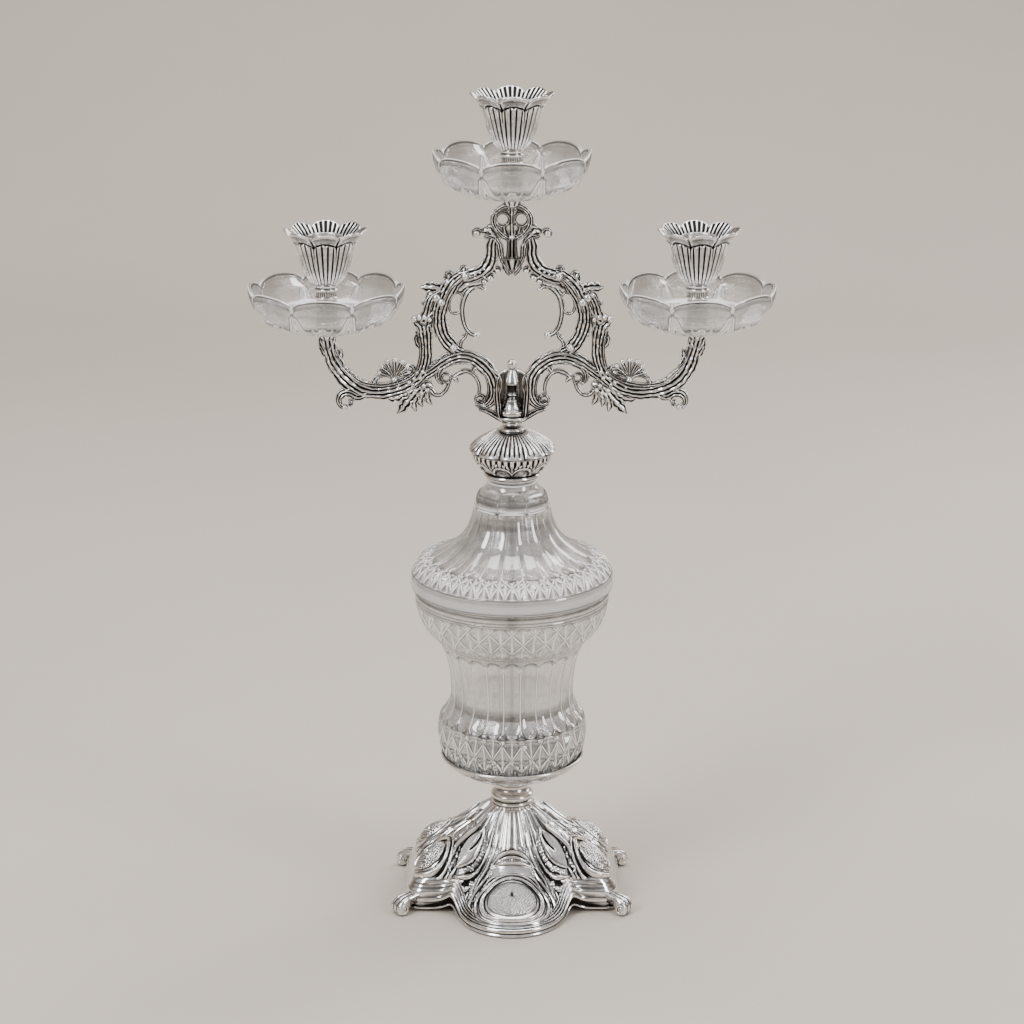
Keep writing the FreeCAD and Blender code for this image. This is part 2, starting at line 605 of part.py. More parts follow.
def build_branch():
    depth = branch_depth.value
    seat = hub_seat.value
    build_hub()
    top = light_rise
    foot = top - crest_height
    crest = padded_plate("crest", mirror_corners([
        (0, foot), (7, foot + 9), (4, foot + 12), (4, foot + 22), (12, foot + 22),
        (22, foot + 23), (28, foot + 25), (28, foot + 29), (22, foot + 31),
        (14, foot + 30), (12.5, foot + 37), (10, top - 3), (5, top), (0, top)]),
        branch_depth, z=hub_seat,
        holes=[(-6.2, top - 8.6, 3.2), (6.2, top - 8.6, 3.2)])
    build_calyxes()
    doc.recompute()
    niche = Part.makeCylinder(niche_radius.value + niche_wall.value, hub_height.value + 6)
    niche.translate(FreeCAD.Vector(0, 0, seat - 3))
    calyxes = [node.Shape for node in NODES if node.Label.startswith("calyx_")]
    # the arm ends under its light, so its outer points move with the light
    reach = light_spread.value
    light = top.value - light_drop.value
    for side, name in ((-1, "left"), (1, "right")):
        c_scroll = scroll_piece("c_scroll_" + name, side, [
            ([(6, 126.5), (11, 121), (11.5, 112), (17.6, 105.5), (24, 102.3), (31, 100.2),
              (36, 98.5), (41, 94), (44.8, 88), (47.7, 82), (49.2, 75), (48.6, 66.5),
              (45, 57.5), (40, 51.5), (35.5, 48.5)], (7.5, 7.5)),
        ], depth, seat, [crest.Shape])
        s_scroll = scroll_piece("s_scroll_" + name, side, [
            ([(58.4, 31.5), (52.5, 36.2), (46.7, 40.5), (40.9, 43.7), (34.1, 45), (27.3, 43.8),
              (21.4, 40.3), (15.8, 35.2), (12.3, 29.5), (11.3, 23), (12.3, 16.5), (16, 11.8),
              (20.5, 10.2), (24.2, 12), (25, 15)], (7, 4)),
        ], depth, seat, [niche, c_scroll.Shape])
        arm = scroll_piece("arm_" + name, side, [
            ([(reach - 0.5, light - 0.5), (reach - 2.5, light - 9), (reach - 5.5, light - 18.5),
              (reach - 10.5, light - 26.5), (reach - 16.5, light - 31.5), (101, 21.5),
              (92.4, 20), (83.6, 20.5), (76, 22.5), (68.1, 26.5), (62.3, 32), (58.6, 39),
              (57, 47), (57.4, 56), (59, 66)], (9, 7)),
        ], depth, seat, [s_scroll.Shape] + calyxes)
        scroll_piece("inner_tendril_" + name, side, [
            ([(18, 94), (23.4, 95), (28.2, 92.5), (32.1, 88), (34.1, 81), (34.6, 75),
              (33.1, 68), (30.2, 63), (26.8, 61), (23.4, 60)], (3.4, 3.4)),
            ([(18, 94), (15.5, 97), (15, 101), (17, 106)], (3.4, 3.4)),
            ([(30, 63), (33, 58), (37, 52)], (3.4, 3.4)),
        ], leaf_depth.value, seat, [c_scroll.Shape])
        scroll_piece("lower_tendril_" + name, side, [
            ([(47, 39.5), (49.5, 34), (48, 29), (44, 26.5), (40.5, 29.5), (37, 33),
              (31.2, 34.5), (27, 32.5), (23.5, 28.5), (22, 23), (23.5, 18), (25.5, 13)],
             (3.4, 3.4)),
        ], leaf_depth.value, seat, [s_scroll.Shape])
        scroll_piece("arm_curl_" + name, side, [
            ([(101, 19), (105, 17.5), (111, 19.5), (115.7, 18.5), (118, 14.5), (116.7, 10.5),
              (113.5, 9)], (4.5, 3.5)),
        ], leaf_depth.value, seat, [arm.Shape])
        palmette = padded_plate("palmette_" + name, [
            (side * x, z) for x, z in (
                (79.3, 24), (93.4, 26), (93, 33), (89.5, 38), (83.6, 42.5), (77.8, 44.5),
                (73, 42), (68.1, 40), (64, 37), (66, 33))],
            leaf_depth, z=hub_seat,
            holes=[(side * 85.5, 32.5, 4.2), (side * 74.5, 34, 4.6)])
        leaf = padded_plate("acanthus_" + name, [
            (side * x, z) for x, z in (
                (80, 20), (72, 24), (64, 30), (61, 26), (52.5, 24.5), (53, 20),
                (55.5, 11), (62.3, 10), (65.2, 6), (71, 10), (77.8, 5))],
            leaf_depth, z=hub_seat)
        doc.recompute()
        for plate in (palmette, leaf):
            trim(plate, arm)


# ---- finial -------------------------------------------------------------------------------
def build_finial():
    bore = thread_radius + running_gap
    turned_piece("finial_bell", [
        (bore, 0), (bell_radius - 1, 0), (bell_radius, 1.5), (bell_radius, 4.5),
        (3.5, bell_height, 4.8, 8), (bore, bell_height)], z=bell_seat)
    ball = finial_height - ball_radius
    turned_piece("finial_nut", [
        (bore, 0), (3.5, 0), (3.5, 3.5), (3, 4.2), (3, 11), (5, 11.5),
        (ball_radius / 2, ball - ball_radius * math.cos(math.pi / 6)),
        (0, finial_height, ball_radius, ball), (0, finial_thread + 1),
        (bore, finial_thread + 1)], z=finial_seat)


# ---- lights -------------------------------------------------------------------------------
LIGHTS = (("left", -light_spread, crest_top - light_drop), ("centre", as_size(0), crest_top),
          ("right", light_spread, crest_top - light_drop))


def build_calyxes():
    for name, x, seat in LIGHTS:
        turned_piece("calyx_" + name, [
            (0, 0), (4, 0), (calyx_radius, calyx_height, 5.6, 1.8), (stud_radius, calyx_height),
            (stud_radius, 1.5), (0, 1.5)], x=x, z=seat)


def notch_rim(body, name, tip_level, depth, outer_radius, count, turn):
    """Cut V-shaped valleys into the rim of a turned piece, evenly around it."""
    half = outer_radius * (math.sin(math.pi / count) * 0.8)
    sketch = new_sketch(body, name + "_valley", "XZ_Plane")
    outline(sketch, [(0, tip_level - depth), (half, tip_level + 0.5), (-half, tip_level + 0.5)])
    sketch.AttachmentOffset = FreeCAD.Placement(
        FreeCAD.Vector(0, 0, 0), FreeCAD.Rotation(FreeCAD.Vector(0, 1, 0), turn))
    doc.recompute()
    before = body.Shape.Volume
    cut = body.newObject("PartDesign::Pocket", name + "_cut")
    cut.Profile = sketch
    bind(cut, "Length", outer_radius + 2)
    doc.recompute()
    if body.Shape.Volume > before - 1:
        raise SystemExit(body.Label + ": the rim valley cuts nothing")
    pattern = body.newObject("PartDesign::PolarPattern", name + "_valleys")
    pattern.Originals = [cut]
    pattern.Axis = (sketch, ["V_Axis"])
    pattern.Angle = 360
    pattern.Occurrences = count
    body.Tip = pattern


def build_lights():
    studs = []
    washers = []
    for name, x, seat in LIGHTS:
        top = seat + calyx_height
        shoulder = pan_washer + pan_floor
        thread_end = shoulder + stud_thread
        studs.append(turned_piece("stud_" + name, [
            (0, 1.5 - calyx_height), (stud_radius - seat_gap, 1.5 - calyx_height),
            (stud_radius - seat_gap, 0), (pan_hole_radius - running_gap, 0),
            (pan_hole_radius - running_gap, shoulder - 0.1), (stud_radius, shoulder - 0.1),
            (stud_radius, thread_end), (0, thread_end)], x=x, z=top))
        washers.append(turned_piece("pan_washer_" + name, [
            (pan_hole_radius, 0), (calyx_radius, 0), (calyx_radius, pan_washer),
            (pan_hole_radius, pan_washer)], x=x, z=top))
        pan_seat = top + pan_washer
        inner = pan_radius - pan_wall
        pan = turned_piece("drip_pan_" + name, [
            (pan_hole_radius, 0), (12, 0), (20, 1.2), (30, 3.5), (40, 8), (pan_radius - 5, 15),
            (pan_radius, 25, pan_radius - 1.3, 20.5), (pan_radius, pan_height),
            (inner, pan_height), (inner, 25), (inner - 5, 17.5, inner - 1.5, 21),
            (38, 11.5), (29, 7), (19, 4.8), (14, pan_floor), (pan_hole_radius, pan_floor)],
            x=x, z=pan_seat)
        notch_rim(pan, pan.Label, pan_height, 5, pan_radius, SCALLOPS, 180 / SCALLOPS)
        collar_seat = pan_seat + pan_floor
        collar_top = collar_height
        thread_bore = stud_radius + running_gap
        turned_piece("nozzle_collar_" + name, [
            (thread_bore, 0), (collar_radius, 0), (collar_radius, 3), (collar_radius - 0.9, 4),
            (collar_radius - 0.9, collar_top - 6), (collar_radius, collar_top - 5),
            (collar_radius, collar_top), (stem_radius, collar_top),
            (stem_radius, collar_top - 6), (thread_bore, collar_top - 6)], x=x, z=collar_seat)
        cup_seat_level = collar_seat + collar_height
        socket_outer = candle_radius + socket_wall
        socket_floor = 1
        turned_piece("candle_socket_" + name, [
            (0, -5.9), (stem_radius - seat_gap, -5.9), (stem_radius - seat_gap, 0),
            (stem_radius, 0), (stem_radius, cup_base_height), (socket_outer, cup_base_height),
            (socket_outer, cup_base_height + socket_floor + candle_depth),
            (candle_radius, cup_base_height + socket_floor + candle_depth),
            (candle_radius, cup_base_height + socket_floor),
            (0, cup_base_height + socket_floor)], x=x, z=cup_seat_level)
        flare = socket_outer + running_gap
        mouth = cup_base_height + 22
        cup = turned_piece("petal_cup_" + name, [
            (stem_radius + running_gap, 0), (collar_radius, 0), (9.5, 5),
            (flare + 1.3, cup_base_height - 0.5), (flare + 3, 15), (flare + 5, 21),
            (flare + 7.5, 28), (flare + 8.5, 30.5), (petal_radius, petal_height),
            (petal_radius - 1.8, petal_height), (flare + 6.4, 31), (flare, mouth),
            (flare, cup_base_height), (stem_radius + running_gap, cup_base_height)],
            x=x, z=cup_seat_level)
        notch_rim(cup, cup.Label, petal_height, 6.5, petal_radius, PETALS, 180 / PETALS)
    group("light_studs", studs)
    group("pan_washers", washers)


# ---- assembly, checks and files -----------------------------------------------------------
doc.recompute()
base = build_base()
build_feet(base)
build_stack()
build_branch()
build_finial()
build_lights()
doc.recompute()

for item in doc.Objects:
    if "Invalid" in item.State or "Error" in item.State:
        raise SystemExit(f"{item.Label} did not build: {item.State}")
os.makedirs("parts", exist_ok=True)
for node in NODES:
    if node.Shape.isNull() or not node.Shape.isValid():
        raise SystemExit(f"{node.Label} has no valid shape")
    node.Shape.exportStep(f"parts/{node.Label}.step")
    box = node.Shape.BoundBox
    print(f"{node.Label:22s} solids {len(node.Shape.Solids)} volume {node.Shape.Volume:10.1f} "
          f"x {box.XMin:7.1f} {box.XMax:7.1f} y {box.YMin:7.1f} {box.YMax:7.1f} "
          f"z {box.ZMin:7.1f} {box.ZMax:7.1f}")
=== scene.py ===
import json
import math

import bpy
import numpy as np
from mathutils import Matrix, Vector


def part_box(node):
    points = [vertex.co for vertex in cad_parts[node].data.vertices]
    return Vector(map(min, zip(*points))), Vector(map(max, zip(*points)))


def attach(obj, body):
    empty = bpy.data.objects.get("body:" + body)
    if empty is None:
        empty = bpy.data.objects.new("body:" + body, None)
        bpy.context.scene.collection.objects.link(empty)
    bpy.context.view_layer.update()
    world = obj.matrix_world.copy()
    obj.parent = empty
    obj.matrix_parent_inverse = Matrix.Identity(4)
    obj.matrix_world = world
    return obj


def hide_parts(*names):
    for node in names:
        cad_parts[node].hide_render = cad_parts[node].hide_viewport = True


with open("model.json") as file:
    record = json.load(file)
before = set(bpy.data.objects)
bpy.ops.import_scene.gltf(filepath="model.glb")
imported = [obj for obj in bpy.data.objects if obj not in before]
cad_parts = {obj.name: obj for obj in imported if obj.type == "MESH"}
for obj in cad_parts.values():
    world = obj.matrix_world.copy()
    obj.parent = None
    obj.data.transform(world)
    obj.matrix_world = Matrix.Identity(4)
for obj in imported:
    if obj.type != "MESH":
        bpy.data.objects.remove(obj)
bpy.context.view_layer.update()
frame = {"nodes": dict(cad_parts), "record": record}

# The looks of a three-light candelabra. Shapes are drawn in millimetres and scaled to metres.
# Turned and cast pieces are placed by the box of the node that they stand for.

MM = 0.001
TAU = 2 * math.pi


# ---- mesh helpers -------------------------------------------------------------------------
def low(node):
    """Lowest corner of a node, in millimetres."""
    return np.array(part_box(node)[0]) / MM


def high(node):
    return np.array(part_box(node)[1]) / MM


def middle(node):
    return (low(node) + high(node)) / 2


FINE = 24             # steps between two given points before a curve is spread evenly


def smooth_line(points, count):
    """Points spread evenly along a smooth curve through the given ones."""
    points = np.array(points, dtype=float)
    ends = np.vstack([2 * points[0] - points[1], points, 2 * points[-1] - points[-2]])
    knots = np.concatenate([[0], np.cumsum(np.linalg.norm(np.diff(ends, axis=0), axis=1) ** 0.5)])
    samples = []
    for i in range(1, len(ends) - 2):
        t0, t1, t2, t3 = knots[i - 1:i + 3]
        t = np.linspace(t1, t2, FINE, endpoint=False)[:, None]
        a1 = ends[i - 1] * (t1 - t) / (t1 - t0) + ends[i] * (t - t0) / (t1 - t0)
        a2 = ends[i] * (t2 - t) / (t2 - t1) + ends[i + 1] * (t - t1) / (t2 - t1)
        a3 = ends[i + 1] * (t3 - t) / (t3 - t2) + ends[i + 2] * (t - t2) / (t3 - t2)
        b1 = a1 * (t2 - t) / (t2 - t0) + a2 * (t - t0) / (t2 - t0)
        b2 = a2 * (t3 - t) / (t3 - t1) + a3 * (t - t1) / (t3 - t1)
        samples.append(b1 * (t2 - t) / (t2 - t1) + b2 * (t - t1) / (t2 - t1))
    samples = np.vstack(samples + [points[-1:]])
    return spread(samples, count)


def spread(samples, count):
    """Points spread evenly along a polyline."""
    length = np.concatenate([[0], np.cumsum(np.linalg.norm(np.diff(samples, axis=0), axis=1))])
    wanted = np.linspace(0, length[-1], count)
    return np.stack([np.interp(wanted, length, samples[:, k])
                     for k in range(samples.shape[1])], axis=1)


def mesh_object(name, verts, faces):
    mesh = bpy.data.meshes.new(name)
    mesh.from_pydata((np.asarray(verts) * MM).tolist(), [], faces)
    mesh.validate()
    mesh.polygons.foreach_set("use_smooth", [True] * len(mesh.polygons))
    piece = bpy.data.objects.new(name, mesh)
    bpy.context.collection.objects.link(piece)
    return piece


def grid_faces(rows, columns, close_rows, close_columns):
    faces = []
    for i in range(rows if close_rows else rows - 1):
        i2 = (i + 1) % rows
        for j in range(columns if close_columns else columns - 1):
            j2 = (j + 1) % columns
            faces.append((i * columns + j, i2 * columns + j, i2 * columns + j2, i * columns + j2))
    return faces


def blurred(points, reach, closed):
    """Every point moved to the mean of its neighbours within reach, along rows and columns."""
    for axis in (0, 1):
        step = np.linalg.norm(np.diff(points, axis=axis), axis=2).mean()
        half = int(np.clip(round(reach / step), 1, (points.shape[axis] - 1) // 2))
        pads = [(0, 0)] * 3
        pads[axis] = (half, half)
        if closed[axis]:
            padded = np.pad(points, pads, mode="wrap")
        else:
            padded = np.pad(points, pads, mode="reflect", reflect_type="odd")
        total = np.cumsum(padded, axis=axis)
        ahead = np.take(total, range(2 * half, total.shape[axis]), axis=axis)
        behind = np.take(total, range(0, total.shape[axis] - 2 * half), axis=axis)
        first = np.take(padded, range(0, total.shape[axis] - 2 * half), axis=axis)
        points = (ahead - behind + first) / (2 * half + 1)
    return points


def slope(points, axis, closed):
    if closed:
        return np.roll(points, -1, axis=axis) - np.roll(points, 1, axis=axis)
    return np.gradient(points, axis=axis)


HOLLOW_REACH = 1.1    # the surface is compared with its mean over this distance
HOLLOW_DEPTH = 0.25   # and counts as fully hollow when it lies this far below


class Build:
    """Collects closed shells that become one object. It notes how hollow the surface is at every
    vertex, from 0 on a sharp edge to 1 in a groove, where patina gathers; painted shade and
    highlights follow it too."""

    def __init__(self):
        self.verts = []
        self.faces = []
        self.hollows = []
        self.count = 0

    def grid(self, points, close_rows=True, close_columns=True):
        """A shell from a grid of points. An open pair of ends is capped."""
        rows, columns = points.shape[:2]
        normal = np.cross(slope(points, 0, close_rows), slope(points, 1, close_columns))
        inside_out = np.sum((points - points.mean(axis=(0, 1))) * normal) < 0
        if inside_out:
            normal = -normal
        normal /= np.maximum(np.linalg.norm(normal, axis=2), 1e-9)[:, :, None]
        around = blurred(points, HOLLOW_REACH, (close_rows, close_columns))
        sunk = np.sum((around - points) * normal, axis=2)
        faces = grid_faces(rows, columns, close_rows, close_columns)
        if not close_rows:
            faces.append(tuple(range(columns)))
            faces.append(tuple((rows - 1) * columns + j for j in reversed(range(columns))))
        if not close_columns:
            faces.append(tuple(i * columns for i in reversed(range(rows))))
            faces.append(tuple(i * columns + columns - 1 for i in range(rows)))
        if inside_out:
            faces = [face[::-1] for face in faces]
        self.verts.append(points.reshape(-1, 3))
        self.hollows.append(0.5 + 0.5 * np.clip(sunk / HOLLOW_DEPTH, -1, 1).ravel())
        self.faces.extend(tuple(self.count + i for i in face) for face in faces)
        self.count += rows * columns

    def finish(self, name):
        piece = mesh_object(name, np.vstack(self.verts), self.faces)
        hollow = piece.data.attributes.new("hollow", "FLOAT", "POINT")
        hollow.data.foreach_set("value", np.concatenate(self.hollows).astype(np.float32))
        return piece


def lathe_points(outline, turns, detail=None):
    """A closed outline of (radius, height) turned about Z: an array (turns, outline, 3)."""
    theta = np.linspace(0, TAU, turns, endpoint=False)[:, None]
    r = np.repeat(outline[None, :, 0], turns, axis=0)
    z = np.repeat(outline[None, :, 1], turns, axis=0)
    if detail:
        r, z = detail(theta, r, z)
    return np.stack([r * np.cos(theta), r * np.sin(theta), z], axis=2)


def lathe(name, outline, at=(0, 0, 0), turns=192, detail=None):
    build = Build()
    build.grid(lathe_points(np.asarray(outline, dtype=float), turns, detail) + np.array(at))
    return build.finish(name)


def ramp(value, start, stop):
    """0 before start, 1 after stop, smooth between."""
    t = np.clip((value - start) / (stop - start), 0, 1)
    return t * t * (3 - 2 * t)


def bump(value, centre, width):
    """A soft bump: 1 at the centre, close to 0 beyond two widths."""
    return np.exp(-((value - centre) / width) ** 2)


def fold(theta, count, turn=0.0):
    """Where theta lies in its sector of a count-fold pattern: -1 at one edge, 1 at the other."""
    share = (theta - turn) * count / TAU
    return 2 * (share - np.round(share))


def profile(*parts):
    """Join stretches of an outline. Each is (points, count): smooth, or straight for count 0."""
    joined = []
    for points, count in parts:
        stretch = smooth_line(points, count) if count else np.array(points, dtype=float)
        joined.append(stretch)
    outline = np.vstack(joined)
    keep = np.ones(len(outline), dtype=bool)
    keep[1:] = np.linalg.norm(np.diff(outline, axis=0), axis=1) > 1e-6
    return outline[keep]


def shell(outer, inner):
    """The outline of a thin wall from its outer and inner stretches, and a mask of its outer
    points."""
    outline = profile(*outer, *inner)
    return outline, np.arange(len(outline)) < sum(count for _, count in outer)


# ---- materials ----------------------------------------------------------------------------
class Look:
    """The node tree of a material or of the world, built from a few kinds of step."""

    def __init__(self, owner):
        owner.use_nodes = True
        self.owner = owner
        self.nodes = owner.node_tree.nodes
        self.links = owner.node_tree.links

    def feed(self, node, values):
        """Each value goes on its socket. An output of another node is linked to it."""
        for socket, value in values.items():
            if isinstance(value, bpy.types.NodeSocket):
                self.links.new(value, node.inputs[socket])
            else:
                node.inputs[socket].default_value = value
        return node

    def node(self, kind, values=None):
        return self.feed(self.nodes.new("ShaderNode" + kind), values or {})

    def shader(self, kind, values=None):
        return self.node("Bsdf" + kind, values).outputs[0]

    def noise(self, scale, detail=4.0):
        place = self.node("TexCoord").outputs["Object"]
        values = {"Scale": scale, "Detail": detail, "Vector": place}
        return self.node("TexNoise", values).outputs["Fac"]

    def hollow(self):
        """What Build noted about the surface: 0.5 where it is flat."""
        node = self.node("Attribute")
        node.attribute_name = "hollow"
        return node.outputs["Fac"]

    def range(self, source, start, stop, first, last):
        """First where source is at start, last where it is at stop, level beyond."""
        values = {"Value": source, "From Min": start, "From Max": stop, "To Min": first,
                  "To Max": last}
        return self.node("MapRange", values).outputs["Result"]

    def math(self, operation, first, second=0.0):
        step = self.node("Math", {0: first, 1: second})
        step.operation = operation
        return step.outputs[0]

    def tones(self, source, *stops):
        """Colours along a ramp. Each stop is (position, colour)."""
        step = self.node("ValToRGB", {"Fac": source})
        elements = step.color_ramp.elements
        while len(elements) < len(stops):
            elements.new(0.5)
        for element, (position, colour) in zip(elements, stops):
            element.position = position
            element.color = (*colour, 1)
        return step.outputs["Color"]

    def mix(self, share, first, second):
        return self.node("MixShader", {0: share, 1: first, 2: second}).outputs[0]

    def principled(self, values):
        """The material, with values on its main shader."""
        self.feed(self.nodes["Principled BSDF"], values)
        return self.owner

    def surface(self, shader):
        """The material, with another shader for its surface."""
        self.feed(self.nodes["Material Output"], {"Surface": shader})
        return self.owner


def silver(name, bright, dark, painted_shade_reach, rough, rubbed_and_lit_from, stained_and_shaded_from):
    """Silver plate: edges bright from wear and a painted highlight, recesses dark with patina and
    painted shade.
    """
    look = Look(bpy.data.materials.new(name))
    # painted shade: ambient occlusion darkens the colour in recesses, corners and between parts
    ambient_shade = look.node("AmbientOcclusion", {"Distance": painted_shade_reach * MM})
    ambient_shade.samples = 8
    unshaded = look.range(ambient_shade.outputs["AO"], 0.25, 0.8, 0.0, 1.0)
    # edges get wear and a painted highlight, grooves get patina and painted shade
    rubbed_and_lit = look.range(look.hollow(), rubbed_and_lit_from, stained_and_shaded_from, 1.0, 0.0)
    spots = look.range(look.noise(260.0), 0.35, 0.65, 0.8, 1.0)
    clean_and_lit = look.math("MULTIPLY", look.math("MULTIPLY", unshaded, rubbed_and_lit), spots)
    # painted shade: the flat body takes a dull mid tone between the dark and the bright
    dull = tuple(0.40 * c for c in bright)
    grain = look.node("Bump", {"Strength": 0.2, "Distance": 0.0001,
                               "Height": look.noise(900, 3.0)})
    return look.principled({
        "Metallic": 1.0, "Normal": grain.outputs["Normal"],
        "Base Color": look.tones(clean_and_lit, (0.12, dark), (0.55, dull), (0.92, bright)),
        "Roughness": look.range(clean_and_lit, 0.0, 0.9, rough + 0.25, rough)})


def crystal_material():
    """Clear lead crystal: its cuts and sharp edges have painted white glints, with a painted dark
    line beside them.
    """
    look = Look(bpy.data.materials.new("crystal"))
    hollow = look.hollow()
    look.principled({
        "Base Color": (1.0, 1.0, 1.0, 1), "Transmission Weight": 1.0, "IOR": 1.52,
        "Roughness": look.range(look.noise(60.0), 0.0, 1.0, 0.0, 0.02)})
    glass = look.nodes["Principled BSDF"].outputs["BSDF"]
    clear = look.shader("Transparent")
    painted_glint = look.shader("Principled", {"Base Color": (1.0, 0.99, 0.975, 1), "Roughness": 0.12})
    gloss = look.shader("Anisotropic", {"Color": (1.0, 1.0, 1.0, 1), "Roughness": 0.06})
    shade = look.shader("Transparent", {"Color": (0.34, 0.34, 0.34, 1)})
    # thin walls let most of the light straight through, with a little gloss and a faint painted
    # white glint over the whole body
    whole = look.mix(0.42, glass, clear)
    whole = look.mix(0.05, whole, painted_glint)
    whole = look.mix(0.15, whole, gloss)
    # painted white glints in the cuts
    whole = look.mix(look.range(hollow, 0.60, 0.78, 0.0, 0.75), whole, painted_glint)
    # a painted dark line on each side of a sharp edge, and a painted white glint on the edge
    # itself
    beside = look.math("ABSOLUTE", look.math("SUBTRACT", hollow, 0.40))
    whole = look.mix(look.range(beside, 0.085, 0.03, 0.0, 0.95), whole, shade)
    whole = look.mix(look.range(hollow, 0.32, 0.14, 0.0, 0.95), whole, painted_glint)
    return look.surface(whole)


def gasket_material():
    """Clear soft plastic that all but disappears between the crystal pieces."""
    look = Look(bpy.data.materials.new("gasket"))
    look.principled({"Transmission Weight": 1.0, "IOR": 1.4,
                     "Roughness": look.range(look.noise(120.0), 0.0, 1.0, 0.1, 0.3)})
    soft = look.nodes["Principled BSDF"].outputs["BSDF"]
    return look.surface(look.mix(0.7, soft, look.shader("Transparent")))


def grainy(name, dull, bright, scale, values):
    """A plain surface whose colour drifts a little between two tones."""
    look = Look(bpy.data.materials.new(name))
    tone = look.tones(look.noise(scale), (0.3, dull), (0.7, bright))
    return look.principled({"Base Color": tone, **values})


CAST = silver("cast_silver", bright=(0.90, 0.89, 0.88), dark=(0.010, 0.009, 0.008),
              painted_shade_reach=3.5, rough=0.13, rubbed_and_lit_from=0.40, stained_and_shaded_from=0.64)
BASE = silver("base_silver", bright=(0.92, 0.91, 0.90), dark=(0.012, 0.011, 0.010),
              painted_shade_reach=2.2, rough=0.12, rubbed_and_lit_from=0.46, stained_and_shaded_from=0.76)
BRIGHT = silver("bright_silver", bright=(0.80, 0.78, 0.75), dark=(0.03, 0.029, 0.027),
                painted_shade_reach=3.0, rough=0.17, rubbed_and_lit_from=0.46, stained_and_shaded_from=0.74)
CRYSTAL = crystal_material()
STEEL = grainy("steel", (0.4675, 0.4675, 0.459), (0.55, 0.55, 0.54), 400.0,
               {"Roughness": 0.35, "Metallic": 1.0})
GASKET = gasket_material()
FELT = grainy("felt", (0.6375, 0.629, 0.595), (0.75, 0.74, 0.70), 2500.0, {"Roughness": 0.95})
BACKDROP = grainy("backdrop", (0.571, 0.509, 0.451), (0.592, 0.529, 0.469), 3.0,
                  {"Roughness": 0.9, "Specular IOR Level": 0.1})


def dress(piece, material, body, slot, *replaced):
    """Give a piece its material, the body it rides on and the nodes it replaces."""
    piece.data.materials.append(material)
    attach(piece, body)
    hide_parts(*replaced)


# ---- lights -------------------------------------------------------------------------------
PETALS = 8
PETAL_TURN = math.radians(-90 + 3)
SCALLOPS = 8
FRONT = math.radians(-90)


def arch(share, roundness):
    """A rounded arch over -1 to 1: 1 in the middle, 0 at both ends with a sharp foot."""
    foot = math.sqrt(1 - roundness)
    return (np.sqrt(1 - roundness * share * share) - foot) / (1 - foot)


def petal_cup(name, place):
    """A flower of ribbed petals around the candle socket."""
    outer = smooth_line([(7.8, 0), (9.4, 1.5), (12.2, 5), (14.3, 9.5), (16.4, 15), (18.5, 21.5),
                         (20.3, 27), (21.6, 30.2), (24.4, 33.6), (28, 37.4)], 130)
    lip = smooth_line([(28, 37.4), (28.2, 38.2), (27.6, 38.5), (26.9, 37.9)], 8)[1:]
    inner = smooth_line([(26.9, 37.9), (23.8, 35), (20.6, 31.6), (18.2, 28), (14.5, 26.2),
                         (12.2, 24.5)], 60)[1:]
    bore = np.array([(12.05, 20), (12.05, 10.6), (5.1, 10.5), (5.1, 0)])
    outline = np.vstack([outer, lip, inner, bore])
    index = np.arange(len(outline))
    outside = index < len(outer)
    inside = (index >= len(outer) + len(lip) - 1) & (index < len(outline) - len(bore))

    def detail(theta, r, z):
        share = fold(theta, PETALS, PETAL_TURN)
        tip = arch(share, 0.9)
        reach = ramp(z, 22, 38.5)
        # petals open out at their tips and close in at the valleys between them
        r_new = r - (1 - tip) * reach * 3.6
        z_new = z - (1 - tip) * reach * 3.9
        ribs = np.abs(np.cos(share * math.pi * 2)) ** 0.55
        hem = 30.6 - (1 - tip) * 1.6
        body = ramp(z, 1.0, 3.5) * (1 - ramp(z, hem - 1.4, hem + 0.2))
        crease = bump(np.abs(share), 1, 0.09)
        r_new = r_new + outside * body * (ribs * 2.2 - 1.4) * (0.5 + 0.5 * ramp(r, 8, 16))
        r_new = r_new - outside * crease * ramp(z, 14, 26)
        r_new = r_new - outside * bump(z, hem + 0.5, 0.7)
        r_new = r_new + outside * 0.5 * bump(z, 36.6, 0.8)
        veins = np.abs(np.cos(share * math.pi * 3)) - 0.5
        r_new = r_new + inside * ramp(z, 24, 28) * veins * 0.8
        return r_new, z_new

    return lathe(name, outline, place, turns=480, detail=detail)


